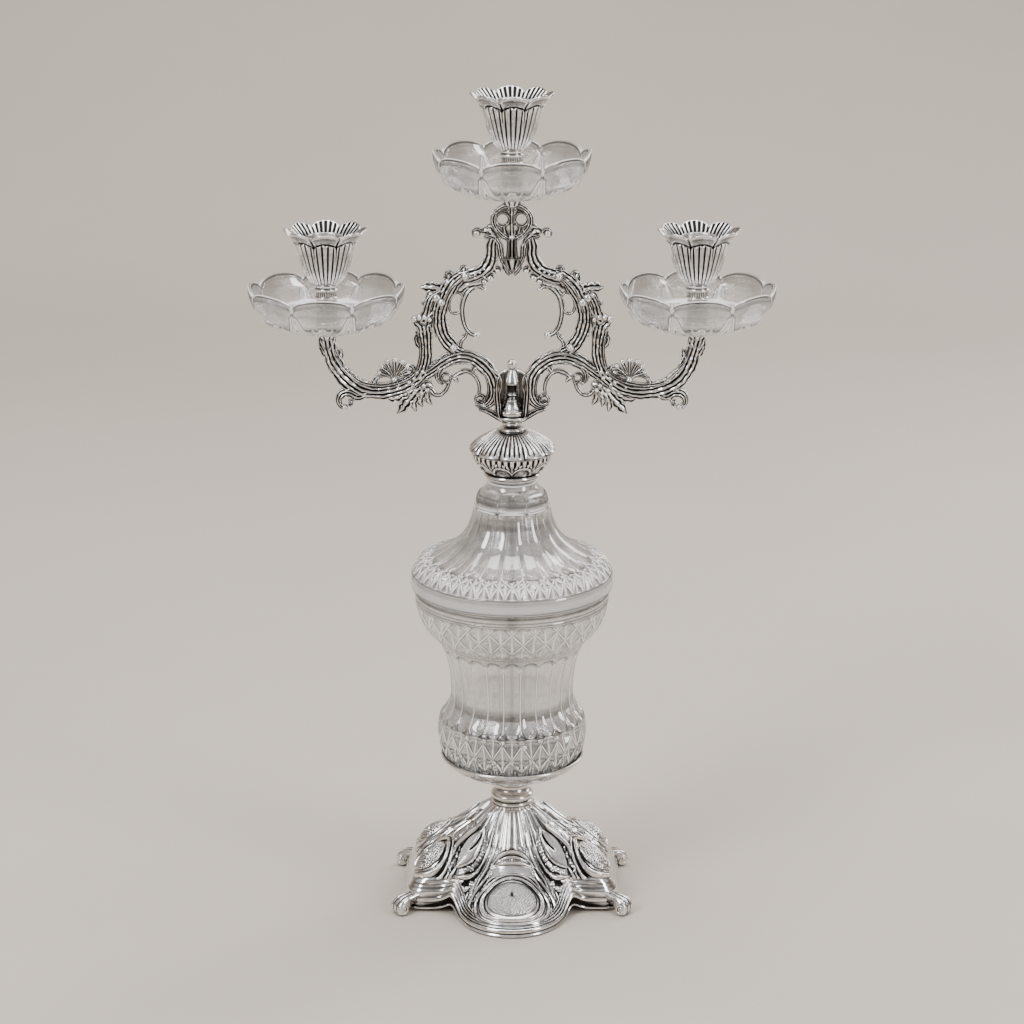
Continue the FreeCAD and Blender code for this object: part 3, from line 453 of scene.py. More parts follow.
def drip_pan(name, place):
    """Crystal saucer with a scalloped rim and cut leaves, star and fans underneath."""
    underside = ([(4, 0), (9, 0), (14, 0.2), (20, 1.1), (30, 3.4), (40, 7.6), (44.2, 10),
                  (47.2, 14.6), (50.8, 21.5), (52.3, 27.5), (52.5, 31.4)], 170)
    lip = ([(52.5, 31.4), (52.2, 32.3), (51.3, 32.5), (50.4, 32.2), (49.9, 31.2)], 12)
    inner = ([(49.9, 31.2), (49.4, 27.5), (47.8, 21.8), (44.6, 16), (41.6, 12.2),
              (38, 10.2), (29, 6.8), (20, 4.7), (12, 4.0), (4, 4.0)], 60)
    outline, outside = shell([underside], [lip, inner])

    def groove(theta_share, r, along_r, width, depth):
        """A V cut along a curve given as a sector share for each radius."""
        away = np.abs(theta_share - along_r) * (math.pi / SCALLOPS) * r
        return depth * np.clip(1 - away / width, 0, 1)

    def detail(theta, r, z):
        share = fold(theta, SCALLOPS, FRONT)
        side = np.abs(share)
        tip = arch(share, 0.9)
        reach = ramp(z, 12, 31.5)
        cuts = np.zeros_like(r)
        for start, stop, bow, flip in ((20, 50.5, 0.75, False), (15, 45, 0.8, True)):
            along = np.clip((r - start) / (stop - start), 0, 1) ** bow
            along = 1 - along if flip else along
            live = ramp(r, start - 1, start + 1) * (1 - ramp(r, stop, stop + 1))
            cuts = np.maximum(cuts, live * groove(side, r, along, 1.3, 0.75))
        star = fold(theta, SCALLOPS * 2, FRONT)
        ray = np.abs(star) * (math.pi / SCALLOPS / 2) * r
        live = ramp(r, 6, 8) * (1 - ramp(r, 16, 19))
        cuts = np.maximum(cuts, live * 0.7 * np.clip(1 - ray / 1.2, 0, 1))
        for lean in (0.0, 0.34):
            along = lean * (r - 26) / 18
            live = ramp(r, 26, 30) * (1 - ramp(r, 41, 46))
            cuts = np.maximum(cuts, live * groove(side, r, along, 1.0, 0.6))
        r = r - outside * cuts * 0.8
        z = z + outside * cuts * 1.1
        r = r + (tip - 0.6) * reach * 0.9
        z = z - (1 - tip) * reach * 5.2
        return r, z

    return lathe(name, outline, place, turns=512, detail=detail)


def collar(name, place):
    """Turned collar with a knurled band and rings."""
    outline = profile(
        ([(2.55, 0), (7.2, 0)], 0), ([(7.2, 0), (7.8, 0.8), (7.8, 2.2), (7.0, 3.0)], 8),
        ([(6.9, 3.4), (6.9, 18.5)], 0), ([(7.0, 18.8), (7.7, 19.3), (7.7, 20.3), (7.0, 20.9)], 8),
        ([(6.9, 21.2), (6.9, 24.2)], 6), ([(7.0, 24.4), (7.9, 24.9), (7.9, 25.9), (7.1, 26.5)], 8),
        ([(7.1, 26.8), (7.6, 27.4), (7.8, 28.5)], 6),
        ([(5.2, 28.5), (5.2, 22.5), (2.55, 22.5)], 0))

    def detail(theta, r, z):
        band = ramp(z, 21, 21.6) * (1 - ramp(z, 23.8, 24.4)) + (1 - ramp(z, 16, 17)) * (z > 4)
        return r + 0.22 * band * (r > 6) * np.cos(28 * theta), z

    return lathe(name, outline, place, turns=168, detail=detail)


def candle_socket(name, place):
    outline = profile(([(0.4, 0), (4.9, 0), (4.9, 16.5), (11.9, 16.5)], 0),
                      ([(11.9, 16.5), (11.9, 38.6)], 12),
                      ([(11.9, 38.6), (11.75, 39.05), (11.3, 38.8)], 5),
                      ([(11.2, 38.4), (11.2, 17.4), (0.4, 17.4)], 0))
    return lathe(name, outline, place, turns=96)


def calyx(name, place):
    """Small leaf cup that carries a pan."""
    outline = profile(([(0.6, 0.3), (3.9, 0)], 0),
                      ([(3.9, 0), (4.6, 1.2), (5.4, 2.6), (6.1, 4.0), (6.2, 4.5)], 24),
                      ([(2.6, 4.5), (2.6, 1.6), (0.6, 1.6)], 0))

    def detail(theta, r, z):
        leaves = np.abs(np.cos(4 * theta))
        body = (r > 3.5) * ramp(z, 0, 1.5) * (1 - ramp(z, 4.3, 4.5))
        return r + body * (leaves - 0.6) * 0.9, z

    return lathe(name, outline, place, turns=160, detail=detail)


LIGHT_PIECES = (
    ("petals_", petal_cup, CAST, "cup_", "cast_silver", "petal_cup_"),
    ("crystal_pan_", drip_pan, CRYSTAL, "pan_", "crystal", "drip_pan_"),
    ("collar_", collar, BRIGHT, "socket_", "bright_silver", "nozzle_collar_"),
    ("socket_liner_", candle_socket, BRIGHT, "socket_", "bright_silver", "candle_socket_"),
    ("leaf_cup_", calyx, CAST, "branch", "cast_silver", "calyx_"))


def build_lights():
    for side in ("left", "centre", "right"):
        x = middle("drip_pan_" + side)[0]
        for name, draw, material, body, slot, node in LIGHT_PIECES:
            piece = draw(name + side, (x, 0, low(node + side)[2]))
            dress(piece, material, body if body == "branch" else body + side, slot, node + side)


# ---- crystal urn and lid ------------------------------------------------------------------
FLUTES = 24


def facets(theta, along, middle_at, rows, pitch, count, depth):
    """Rows of four-sided points: two crossing families of V cuts."""
    across = theta * count / TAU
    up = (along - middle_at) / pitch
    first = np.abs(((across + up) % 1) - 0.5) * 2
    second = np.abs(((across - up) % 1) - 0.5) * 2
    live = np.clip(rows / 2 + 0.02 - np.abs(up), 0, 0.12) / 0.12
    return live * depth * (1 - np.maximum(first, second))


def crystal_urn():
    """Vase with a diamond-cut rim band, long flutes and a cut bulge at its foot."""
    place = (0, 0, low("crystal_urn")[2])
    vase = ([(29, 0.2), (39, 4.7), (44.4, 8.9), (47.7, 12), (50.5, 15.5), (52.1, 24),
             (52.5, 31), (51.9, 37), (49.8, 42.5), (46.2, 47.5), (44.1, 53), (43.5, 60),
             (43.9, 70), (45.3, 80), (47.9, 90), (51, 97.2)], 230)
    band = ([(51, 97.2), (55, 101.6), (60.2, 107), (64.4, 114.5), (66.9, 124),
             (67.5, 130.5)], 110)
    edge = ([(67.5, 130.5), (67.4, 133.8), (66.6, 134.8), (63.6, 134.8), (62.6, 134)], 16)
    inner = ([(62.6, 134), (62.4, 125), (59.3, 115.5), (54, 108), (49.3, 102), (45, 95),
              (42, 84), (39.2, 72), (38.4, 60), (39.4, 52), (43.6, 46), (46.6, 40), (47.3, 30),
              (46, 19.5), (42, 12), (32, 8), (20, 7), (3.4, 7)], 130)
    outline, outside = shell([vase, band], [edge, inner, ([(3.4, 0), (29, 0)], 4)])

    def detail(theta, r, z):
        share = fold(theta, FLUTES, FRONT)
        scoop = (1 - share * share)
        # flutes end in round heads under the rim and above the foot
        crown = 94.5 - (1 - arch(share, 0.95)) * 6
        foot = 40.5 + (1 - arch(share, 0.95)) * 5
        live = ramp(z, foot - 1.2, foot + 2.2) * (1 - ramp(z, crown - 2.2, crown + 1.0))
        cut = live * (0.3 + 1.9 * scoop) * 0.9
        diamonds = facets(theta, z, middle_at=113.5, rows=1.5, pitch=17.0, count=26, depth=3.0)
        collar_line = 0.7 * bump(z, 98.6, 0.7) + 0.5 * bump(z, 129, 0.7)
        hobnail = facets(theta, z, middle_at=25.5, rows=1.3, pitch=21.0, count=24, depth=2.6)
        hobnail = hobnail + facets(theta + 0.13, z, middle_at=17, rows=1.1, pitch=13.0,
                                   count=36, depth=1.2)
        rows = 0.5 * bump(z, 38.6, 0.6) + 0.45 * bump(z, 9.8, 0.5)
        cut = cut + diamonds + collar_line + hobnail + rows
        return r - outside * cut, z

    piece = lathe("cut_urn", outline, place, turns=864, detail=detail)
    dress(piece, CRYSTAL, "stand", "crystal", "crystal_urn")


def crystal_lid():
    """Bell-shaped lid: cut points round its edge, long flutes, and a panelled neck."""
    place = (0, 0, low("crystal_lid")[2])
    edge = ([(69.6, 0.4), (70, 1.2), (70, 5), (70, 8.8), (69.6, 10.6)], 40)
    brim = ([(69.6, 10.6), (68.4, 14), (65, 18.6), (58.5, 21.6), (52, 24), (46, 27)], 90)
    bell = ([(46, 27), (40.6, 30.8), (36.4, 34.6), (32.2, 40.4), (29.4, 46.5), (27.4, 53),
             (26.6, 58.5)], 90)
    neck = ([(26.6, 58.5), (26.2, 63.5), (24.4, 66.6), (20.8, 69.6), (18.3, 72.2),
             (17.2, 74.6), (17, 76)], 44)
    inner = ([(6.6, 76), (6.6, 70.5), (12, 67.5), (19.8, 62), (22.3, 55), (24.8, 46),
              (28.4, 38.5), (34.5, 30.8), (43, 24.4), (52, 19.4), (60, 15.4), (63.6, 10),
              (63.8, 6)], 100)
    seat = ([(62.6, 5.5), (62.6, 0.4), (63, 0), (69.2, 0)], 0)
    outline, outside = shell([edge, brim, bell, neck], [inner, seat])

    def detail(theta, r, z):
        share = fold(theta, FLUTES, FRONT)
        head = arch(share, 0.95)
        hem = 60.5 - (1 - head) * 5
        reach = ramp(-r, -hem - 0.5, -hem + 3)
        live = reach * (1 - ramp(z, 56.5, 58.5))
        deep = 0.55 + np.clip((r - 26) / 34, 0, 1)
        cut = live * (0.15 + 1.35 * (1 - share * share)) * deep
        panel = fold(theta, FLUTES / 3, FRONT)
        shoulder = ramp(z, 58.5, 60) * (1 - ramp(z, 70.5, 72))
        cut = cut + shoulder * (1.6 - 1.5 * panel * panel)
        points = facets(theta, r, middle_at=64.5, rows=1.6, pitch=9.5, count=44, depth=2.4)
        points = points * (z > 12) * (r > 54)
        line = 0.5 * bump(z, 11.8, 0.5)
        steep = np.clip((r - 27) / 20, 0, 1)
        r_new = r - outside * (cut * (1 - 0.7 * steep) + points * 0.5 + line)
        z_new = z - outside * (cut * 0.75 * steep + points * 0.8)
        return r_new, z_new

    piece = lathe("cut_lid", outline, place, turns=864, detail=detail)
    dress(piece, CRYSTAL, "stand", "crystal", "crystal_lid")


# ---- turned metal -------------------------------------------------------------------------
def turned(name, outline, body, node, turns=192):
    piece = lathe(name, outline, (0, 0, low(node)[2]), turns)
    dress(piece, BRIGHT, body, "bright_silver", node)


def build_turnings():
    knob = profile(([(3.5, 0), (13.7, 0)], 0),
                   ([(13.7, 0), (14.4, 0.9), (14.2, 2), (13.1, 2.9)], 10),
                   ([(13.1, 3.4), (14.6, 4.4), (15.2, 6), (14.9, 7.4), (13.6, 8.6)], 16),
                   ([(13.0, 8.9), (11.6, 10.2), (10.8, 12), (10.6, 14)], 12),
                   ([(11.1, 14.4), (11.5, 15.2), (11.0, 16)], 8),
                   ([(10.6, 16.3), (10.9, 17.8), (11.8, 19.5)], 8), ([(3.5, 19.5)], 0))
    turned("turned_knob", knob, "stand", "stem_knob")
    dish = profile(([(3.5, 0), (11, 0)], 0),
                   ([(11, 0), (20, 1.3), (30, 4), (40, 8.4), (46.4, 13), (49.2, 17.2)], 60),
                   ([(49.2, 16.8), (50.3, 17.2), (50.4, 18.6), (49.6, 19.2), (48.6, 18.8)], 12),
                   ([(48.3, 17.4), (45, 14), (40, 9.9), (30, 5.2)], 20), ([(3.5, 5.2)], 0))
    turned("turned_cup", dish, "stand", "urn_cup", turns=256)
    spool = profile(([(2.1, 0), (8.2, 0)], 0), ([(8.2, 0), (8.8, 0.9), (8.2, 1.9)], 8),
                    ([(4.4, 2.1), (3.6, 3), (3.8, 4.1)], 8),
                    ([(6.6, 4.4), (7.4, 5.6), (7.0, 7)], 8), ([(2.1, 7)], 0))
    turned("turned_neck", spool, "stand", "neck_spool")
    bell = profile(([(2.1, 0), (7, 0)], 0), ([(7, 0), (7.8, 0.8), (8.1, 2.6), (8, 4.6)], 10),
                   ([(8, 4.6), (6.2, 6), (4.8, 8.4), (4, 11), (3.9, 12.5)], 20),
                   ([(2.1, 12.5)], 0))
    turned("finial_skirt", bell, "finial_washer", "finial_bell")
    nut = profile(([(2.06, 0), (3.5, 0), (3.5, 3.3)], 0),
                  ([(3.5, 3.3), (4.1, 3.7), (3.2, 4.3)], 6), ([(3, 4.6), (3, 10.6)], 0),
                  ([(3, 10.6), (4.9, 11), (5, 11.8), (3.6, 16), (1.6, 21.2)], 20),
                  ([(1.6, 21.2), (2.9, 22.6), (3.35, 24.7), (2.9, 26.6), (1.5, 27.8),
                    (0.02, 28)], 24), ([(0.02, 8), (2.06, 8)], 0))
    turned("finial_top", nut, "finial", "finial_nut")


def knop():
    """Gadrooned cap over a scalloped gallery."""
    lobes = 10
    cap = profile(([(11, 0.2), (26, 0.2)], 0),
                  ([(26, 0.2), (29.4, 0.3), (30, 1.2), (29, 2.4)], 12),
                  ([(29, 2.4), (25, 5.8), (19.5, 9.2), (13.5, 12), (10.3, 13)], 60),
                  ([(10.3, 13), (8.8, 12.9), (8.2, 13.4), (8, 14)], 8),
                  ([(3.5, 14), (3.5, 11), (11, 8)], 0))

    def cap_detail(theta, r, z):
        share = fold(theta, lobes, FRONT)
        ribs = np.abs(np.cos(share * math.pi * 2.5)) ** 0.8
        live = ramp(r, 10.5, 13) * (z > 0.5)
        lobe = arch(share, 0.85)
        r_new = r - live * (1 - lobe) * ramp(r, 20, 29) * 2.2
        z_new = z + live * (ribs * 1.5 - 0.8) * (1 - ramp(r, 27.5, 29.8))
        z_new = z_new - ramp(r, 22, 30) * (1 - lobe) * 0.4
        return r_new, z_new

    dress(lathe("fluted_cap", cap, (0, 0, low("knop_cap")[2]), turns=480, detail=cap_detail),
          CAST, "stand", "cast_silver", "knop_cap")
    gallery = profile(([(3.5, 0), (17, 0)], 0), ([(17, 0), (18.4, 1), (18.8, 2.4)], 8),
                      ([(18.8, 2.4), (19.6, 3), (19.2, 4.2), (18.6, 4.6)], 10),
                      ([(18.6, 4.6), (21.4, 8), (24.4, 11.6), (27.4, 16), (28.2, 19.2)], 60),
                      ([(28.2, 19.2), (27, 20)], 0),
                      ([(26, 19.6), (22, 13), (17, 7), (3.5, 6)], 20))

    def gallery_detail(theta, r, z):
        share = fold(theta, lobes, FRONT + TAU / lobes / 2)
        swag = arch(share, 0.85)
        hem = 7.5 + swag * 5.5
        lip = bump(z, hem, 1.0)
        beads = bump(z, hem + 2.4, 0.9) * np.abs(np.cos(share * math.pi * 3))
        veins = ramp(z, hem + 3, hem + 4) * np.cos(share * math.pi * 4) * 0.5
        out = (r > 17.5) * (z > 4.8) * (z < 19.5)
        below = 1 - ramp(z, hem - 2, hem)
        return r + out * (lip * 1.1 + beads * 0.9 + veins - below * 0.8), z

    dress(lathe("scalloped_gallery", gallery, (0, 0, low("knop_gallery")[2]), turns=480,
                detail=gallery_detail), CAST, "stand", "cast_silver", "knop_gallery")


# ---- branch -------------------------------------------------------------------------------
def section(ridges, cut, sway):
    """Cross sections along a band, -1 to 1 both ways: across it and through it. The faces
    carry ridges with cut grooves between them, and the grooves sway along the band."""
    turn = np.linspace(0, TAU, 60, endpoint=False)
    across = np.sign(np.cos(turn)) * np.abs(np.cos(turn)) ** 0.85
    through = np.sign(np.sin(turn)) * np.abs(np.sin(turn)) ** 0.6
    groove = 0.5 - 0.5 * np.cos(TAU * ridges * (across + 1) / 2 + sway[:, None])
    return across, through * (1 - cut * groove)


def sweep(build, line, widths, depths, ridges=2, cut=0.4, step=0.7):
    """A band along a curve in the XZ plane. Widths and depths are spread along it."""
    length = np.linalg.norm(np.diff(np.array(line, dtype=float), axis=0), axis=1).sum()
    count = max(12, int(length / step))
    path = smooth_line(line, count)
    along = np.gradient(path, axis=0)
    along /= np.linalg.norm(along, axis=1)[:, None]
    share = np.linspace(0, 1, count)
    width = np.interp(share, np.linspace(0, 1, len(widths)), widths) / 2
    depth = np.interp(share, np.linspace(0, 1, len(depths)), depths) / 2
    run = share * length
    if ridges > 1:
        # cast from a worn pattern: bands swell and pinch, and their ridges wander
        width = width * (1 + 0.06 * np.sin(0.45 * run) + 0.03 * np.sin(1.3 * run + 1.3))
        across, through = section(ridges, 0.75 * cut, 0.8 * np.sin(0.16 * run))
        through = through * (0.92 + 0.08 * np.sin(0.9 * run + 0.7)[:, None])
    else:
        # thin bands have a bright middle rib between two grooves
        across, through = section(2, max(cut, 0.4), np.zeros(count))
    x = path[:, 0, None] - along[:, 1, None] * across * width[:, None]
    z = path[:, 1, None] + along[:, 0, None] * across * width[:, None]
    points = np.stack([x, through * depth[:, None], z], axis=2)
    build.grid(points, False, True)


def ball(build, x, z, radius, depth=1.0):
    turn = np.linspace(0, TAU, 20, endpoint=False)[:, None]
    rise = np.linspace(0.02, math.pi - 0.02, 12)[None, :]
    points = np.stack([x + radius * np.sin(rise) * np.cos(turn),
                       depth * radius * np.sin(rise) * np.sin(turn),
                       z - radius * np.cos(rise) + 0 * turn], axis=2)
    build.grid(points, True, False)


def curl(build, x, z, radius, start, turns, width, depth, hand=1):
    """A scroll end: a band that winds into a ball. It starts at an angle in degrees."""
    share = np.linspace(0, 1, 24)
    angle = math.radians(start) + hand * share * turns * TAU
    reach = radius * (1 - 0.72 * share)
    line = np.stack([x + reach * np.cos(angle), z + reach * np.sin(angle)], axis=1)
    sweep(build, line, [width, width * 0.75], [depth, depth * 0.8], 1, 0.3, step=0.5)
    ball(build, line[-1][0], line[-1][1], width * 0.55, depth=1.3)


def ring(build, x, z, radius_x, radius_z, width, depth, tilt=0.0):
    turn = np.linspace(0, TAU, 40)
    lean = math.radians(tilt)
    ox = radius_x * np.cos(turn)
    oz = radius_z * np.sin(turn)
    line = np.stack([x + ox * math.cos(lean) - oz * math.sin(lean),
                     z + ox * math.sin(lean) + oz * math.cos(lean)], axis=1)
    sweep(build, line, [width, width], [depth, depth], 1, 0.0, step=0.6)


def leaf(build, line, width, lobes=4, depth=5.0, cut=0.55):
    """An acanthus lobe: a veined band with a notched edge that comes to a point."""
    share = np.linspace(0, 1, 33)
    shape = np.sqrt(np.clip(1.02 - np.abs(2 * share - 0.9) ** 3.2, 0.02, 1))
    edge = 0.64 + 0.36 * np.abs(np.cos(math.pi * lobes * share))
    sweep(build, line, list(width * shape * edge + 0.5), [depth, depth * 0.9, depth * 0.35],
          2, cut, step=0.45)


BOLD = 1.27          # bands, leaves and rings are drawn this much wider than their lines say
BOLD_BALL = 1.15     # and beads this much larger


class Side:
    """Draws on one half of the branch: positive x is away from the middle."""

    def __init__(self, build, side, foot):
        self.build = build
        self.side = side
        self.foot = foot

    def line(self, points):
        return [(self.side * x, self.foot + z) for x, z in points]

    def sweep(self, points, widths, *args, **kwargs):
        bold = [BOLD * width for width in widths]
        sweep(self.build, self.line(points), bold, *args, **kwargs)

    def leaf(self, points, width, *args, **kwargs):
        leaf(self.build, self.line(points), BOLD * width, *args, **kwargs)

    def ball(self, x, z, radius, *args, **kwargs):
        ball(self.build, self.side * x, self.foot + z, radius * BOLD_BALL, *args, **kwargs)

    def ring(self, x, z, rx, rz, width, depth, tilt=0.0):
        ring(self.build, self.side * x, self.foot + z, rx, rz, BOLD * width, depth,
             tilt * self.side)

    def curl(self, x, z, radius, start, turns, width, depth, hand=1):
        if self.side < 0:
            start = 180 - start
        curl(self.build, self.side * x, self.foot + z, radius, start, turns, width, depth,
             hand * self.side)


def draw_c_scroll(pen):
    """The upper scroll from the crest and the big C below it, with ruffled leaves outside."""
    pen.sweep([(12.5, 126), (13.6, 121), (13.6, 115), (15.6, 108.5), (20.5, 103.5), (27, 100.8),
               (33, 99)], [5, 7, 7.5, 7.5, 7.5], [7, 8, 8.4], 3, 0.45)
    pen.sweep([(29, 103), (35.5, 99.5), (41, 94), (45, 87), (47.6, 80), (48.9, 73), (48.4, 66),
               (46, 58.8), (42, 53), (38.3, 49.6), (34, 47.2)],
              [4, 8, 8.4, 7.4, 7.8, 8, 7.6, 6.5], [8.6, 9, 9], 4, 0.55)
    pen.sweep([(25, 101), (33, 99.5), (40.5, 93), (45, 85), (47.8, 76)], [2.4, 2.6, 2.2],
              [10, 10.4, 9], 1, 0.1)
    for x, z in ((31.6, 100.4), (47.6, 82.5), (39.5, 51)):
        pen.ball(x, z, 3.0, depth=1.75)
    # beads in the channel and a row of buds under it
    for x, z in ((18.6, 105.6), (21.6, 103.4), (24.8, 101.8), (28, 100.7)):
        pen.ball(x, z, 1.3, depth=3.6)
    for x, z, radius in ((9.6, 103.4, 2.0), (14.6, 98.6, 2.4), (18.6, 96.2, 2.0)):
        pen.ball(x, z, radius, depth=1.2)
        pen.curl(x + 0.6, z + 1.6, radius + 0.4, 200, 0.8, 1.3, 4.4, -1)
    pen.leaf([(12, 108), (11, 104.5), (9, 102.5)], 3.4, 2, 5)
    pen.leaf([(20, 101), (17, 98.5), (13.5, 97.5)], 3.6, 2, 5)
    # ruffles on the outer side
    pen.curl(32.8, 105.2, 3.0, 250, 1.1, 2.2, 5.6, -1)
    pen.leaf([(36, 100), (33.4, 103), (31.6, 107.6)], 4.2, 3, 6)
    pen.curl(42.6, 101.2, 3.2, 240, 1.1, 2.4, 6, -1)
    pen.leaf([(45, 94), (43, 98.5), (44.6, 103.6)], 5.2, 3, 6.5)
    pen.leaf([(40, 97), (37.4, 99.4), (37.6, 102.8)], 4.0, 2, 6)
    pen.leaf([(46.5, 89), (51.5, 92), (61.6, 92.6)], 6.6, 4, 6.5)
    pen.leaf([(47.5, 86), (54, 88), (58, 84.5)], 4.6, 3, 5.5)
    pen.ball(50.8, 85.6, 3.2, depth=1.35)
    pen.sweep([(48.5, 90.5), (51.8, 88), (50.6, 82.8), (48.6, 80.8)], [2.2, 2.4, 1.8],
              [8, 8], 1, 0.2)
    pen.curl(59.6, 82, 2.0, 120, 0.9, 1.6, 4.6)
    # leafy stem that ties the horn of the arm to the C
    pen.sweep([(60, 69), (57.5, 75), (56, 81), (53.4, 86), (49.5, 89)], [6.6, 5.6, 4.6, 3.4],
              [7.6, 7, 6], 3, 0.5)
    pen.leaf([(57, 72), (53.2, 76.5), (50.6, 83)], 4.4, 3, 6.6)
    pen.leaf([(51.6, 70), (50.8, 64), (51.4, 58)], 3.0, 3, 5.4)
    # inner web and tendril with an oval eye
    pen.leaf([(21, 96), (30, 94), (37.5, 89)], 6.5, 5, 5, 0.35)
    pen.sweep([(18.4, 90.6), (21.4, 93), (25.6, 92.6), (29.8, 89.4), (32.4, 84.6), (33.6, 78),
               (33, 70.5), (31, 64.4), (28, 60.9), (24.2, 59.2)], [2.2, 3.8, 3.6, 3.0, 2.8],
              [4, 5.2, 5, 4.4], 1, 0.25)
    pen.ball(24, 59.2, 2.2)
    pen.ball(18.6, 90.6, 1.5)
    pen.ring(37.6, 81.8, 4.6, 7.4, 1.9, 4.6, 12)
    pen.sweep([(30.4, 62.4), (31.4, 58.6), (33.8, 56), (35.2, 51.5)], [1.8, 2.4, 2.6],
              [4, 4.6], 1, 0.2)
    pen.curl(32.6, 58.2, 1.7, 40, 0.8, 1.1, 3.8)


def draw_s_scroll(pen):
    """The lower S from the hub to the arm, with its eyes and the thin tendril below."""
    pen.sweep([(59.4, 31.6), (53, 36.2), (46.6, 40.6), (40.4, 43.6), (34, 44.8), (27.4, 43.6),
               (21.4, 40.2), (16.2, 35.2), (13, 29.4), (12, 23), (12.8, 16.6), (16, 11.8),
               (20.6, 10.2), (24.4, 12)], [6, 7.2, 7.6, 7.8, 8, 8.6, 8.4, 7.6, 5, 3],
              [8.4, 9, 9, 8.6, 6.5], 4, 0.55)
    pen.sweep([(58, 34.8), (52.6, 39), (46.4, 43.4), (40.4, 46.6), (34, 47.9), (27, 46.8),
               (20, 42.8), (14, 37), (9.6, 32.6)], [1.6, 2.2, 2.2, 1.8], [9.4, 10, 9.4], 1, 0.1)
    pen.curl(21.6, 14.6, 3.6, -60, 1.0, 1.9, 6)
    pen.ring(21.8, 14.8, 3.3, 3.5, 1.6, 5.4)
    # leaf that fans out of the S and winds down into the left eye
    pen.sweep([(36, 41), (43, 40.4), (48, 37.6), (50.6, 33), (49.8, 28), (46.6, 25.6)],
              [2.4, 4, 4.6, 3.4, 2], [7, 7.6, 6], 3, 0.5)
    pen.ring(44.6, 29.8, 3.0, 3.0, 1.7, 5.4)
    pen.leaf([(38, 40.4), (32, 41), (24, 38.6)], 2.6, 6, 8.4, 0.3)
    # thin tendril
    pen.sweep([(40.4, 29.4), (37, 32.6), (31, 34.6), (26.6, 32.4), (23.6, 28.4), (22.2, 23.4),
               (22.6, 19)], [2.4, 3.4, 2.4, 2.6, 2.2], [4.4, 5, 4.4], 1, 0.25)
    pen.sweep([(27.4, 33.4), (25.6, 36), (22.4, 38.6)], [2.0, 3.2, 2.4], [4.8, 5], 1, 0.2)
    pen.curl(25.4, 36.6, 1.8, 10, 0.8, 1.2, 4.4)
    pen.leaf([(41.8, 30.6), (38.6, 29.4), (36.6, 26.4)], 2.8, 2, 4.8)
    pen.sweep([(42.4, 27.2), (44.8, 21.6), (48.4, 18.2), (52.6, 18.2), (55.6, 21.4)],
              [2.2, 2.6, 2.6, 3.2], [4.6, 5, 5.4], 1, 0.25)
    # inner ribs of the hub side, running down to the foot
    pen.sweep([(9.4, 31), (10.4, 25), (10.2, 17), (9.6, 10), (8.8, 4), (7, 1.4)],
              [2.6, 3.0, 3.4, 3.2, 2.4], [11, 12, 13, 13], 1, 0.15)
    pen.sweep([(18.6, 33), (16.6, 27.4), (16, 21.4), (17.4, 15.6)], [1.4, 1.8, 1.4],
              [8, 8.6], 1, 0.1)
    pen.sweep([(22.6, 8.4), (16.6, 6.4), (11.4, 3.4), (7, 0.9)], [2.2, 3, 3],
              [8.4, 10, 12], 1, 0.2)


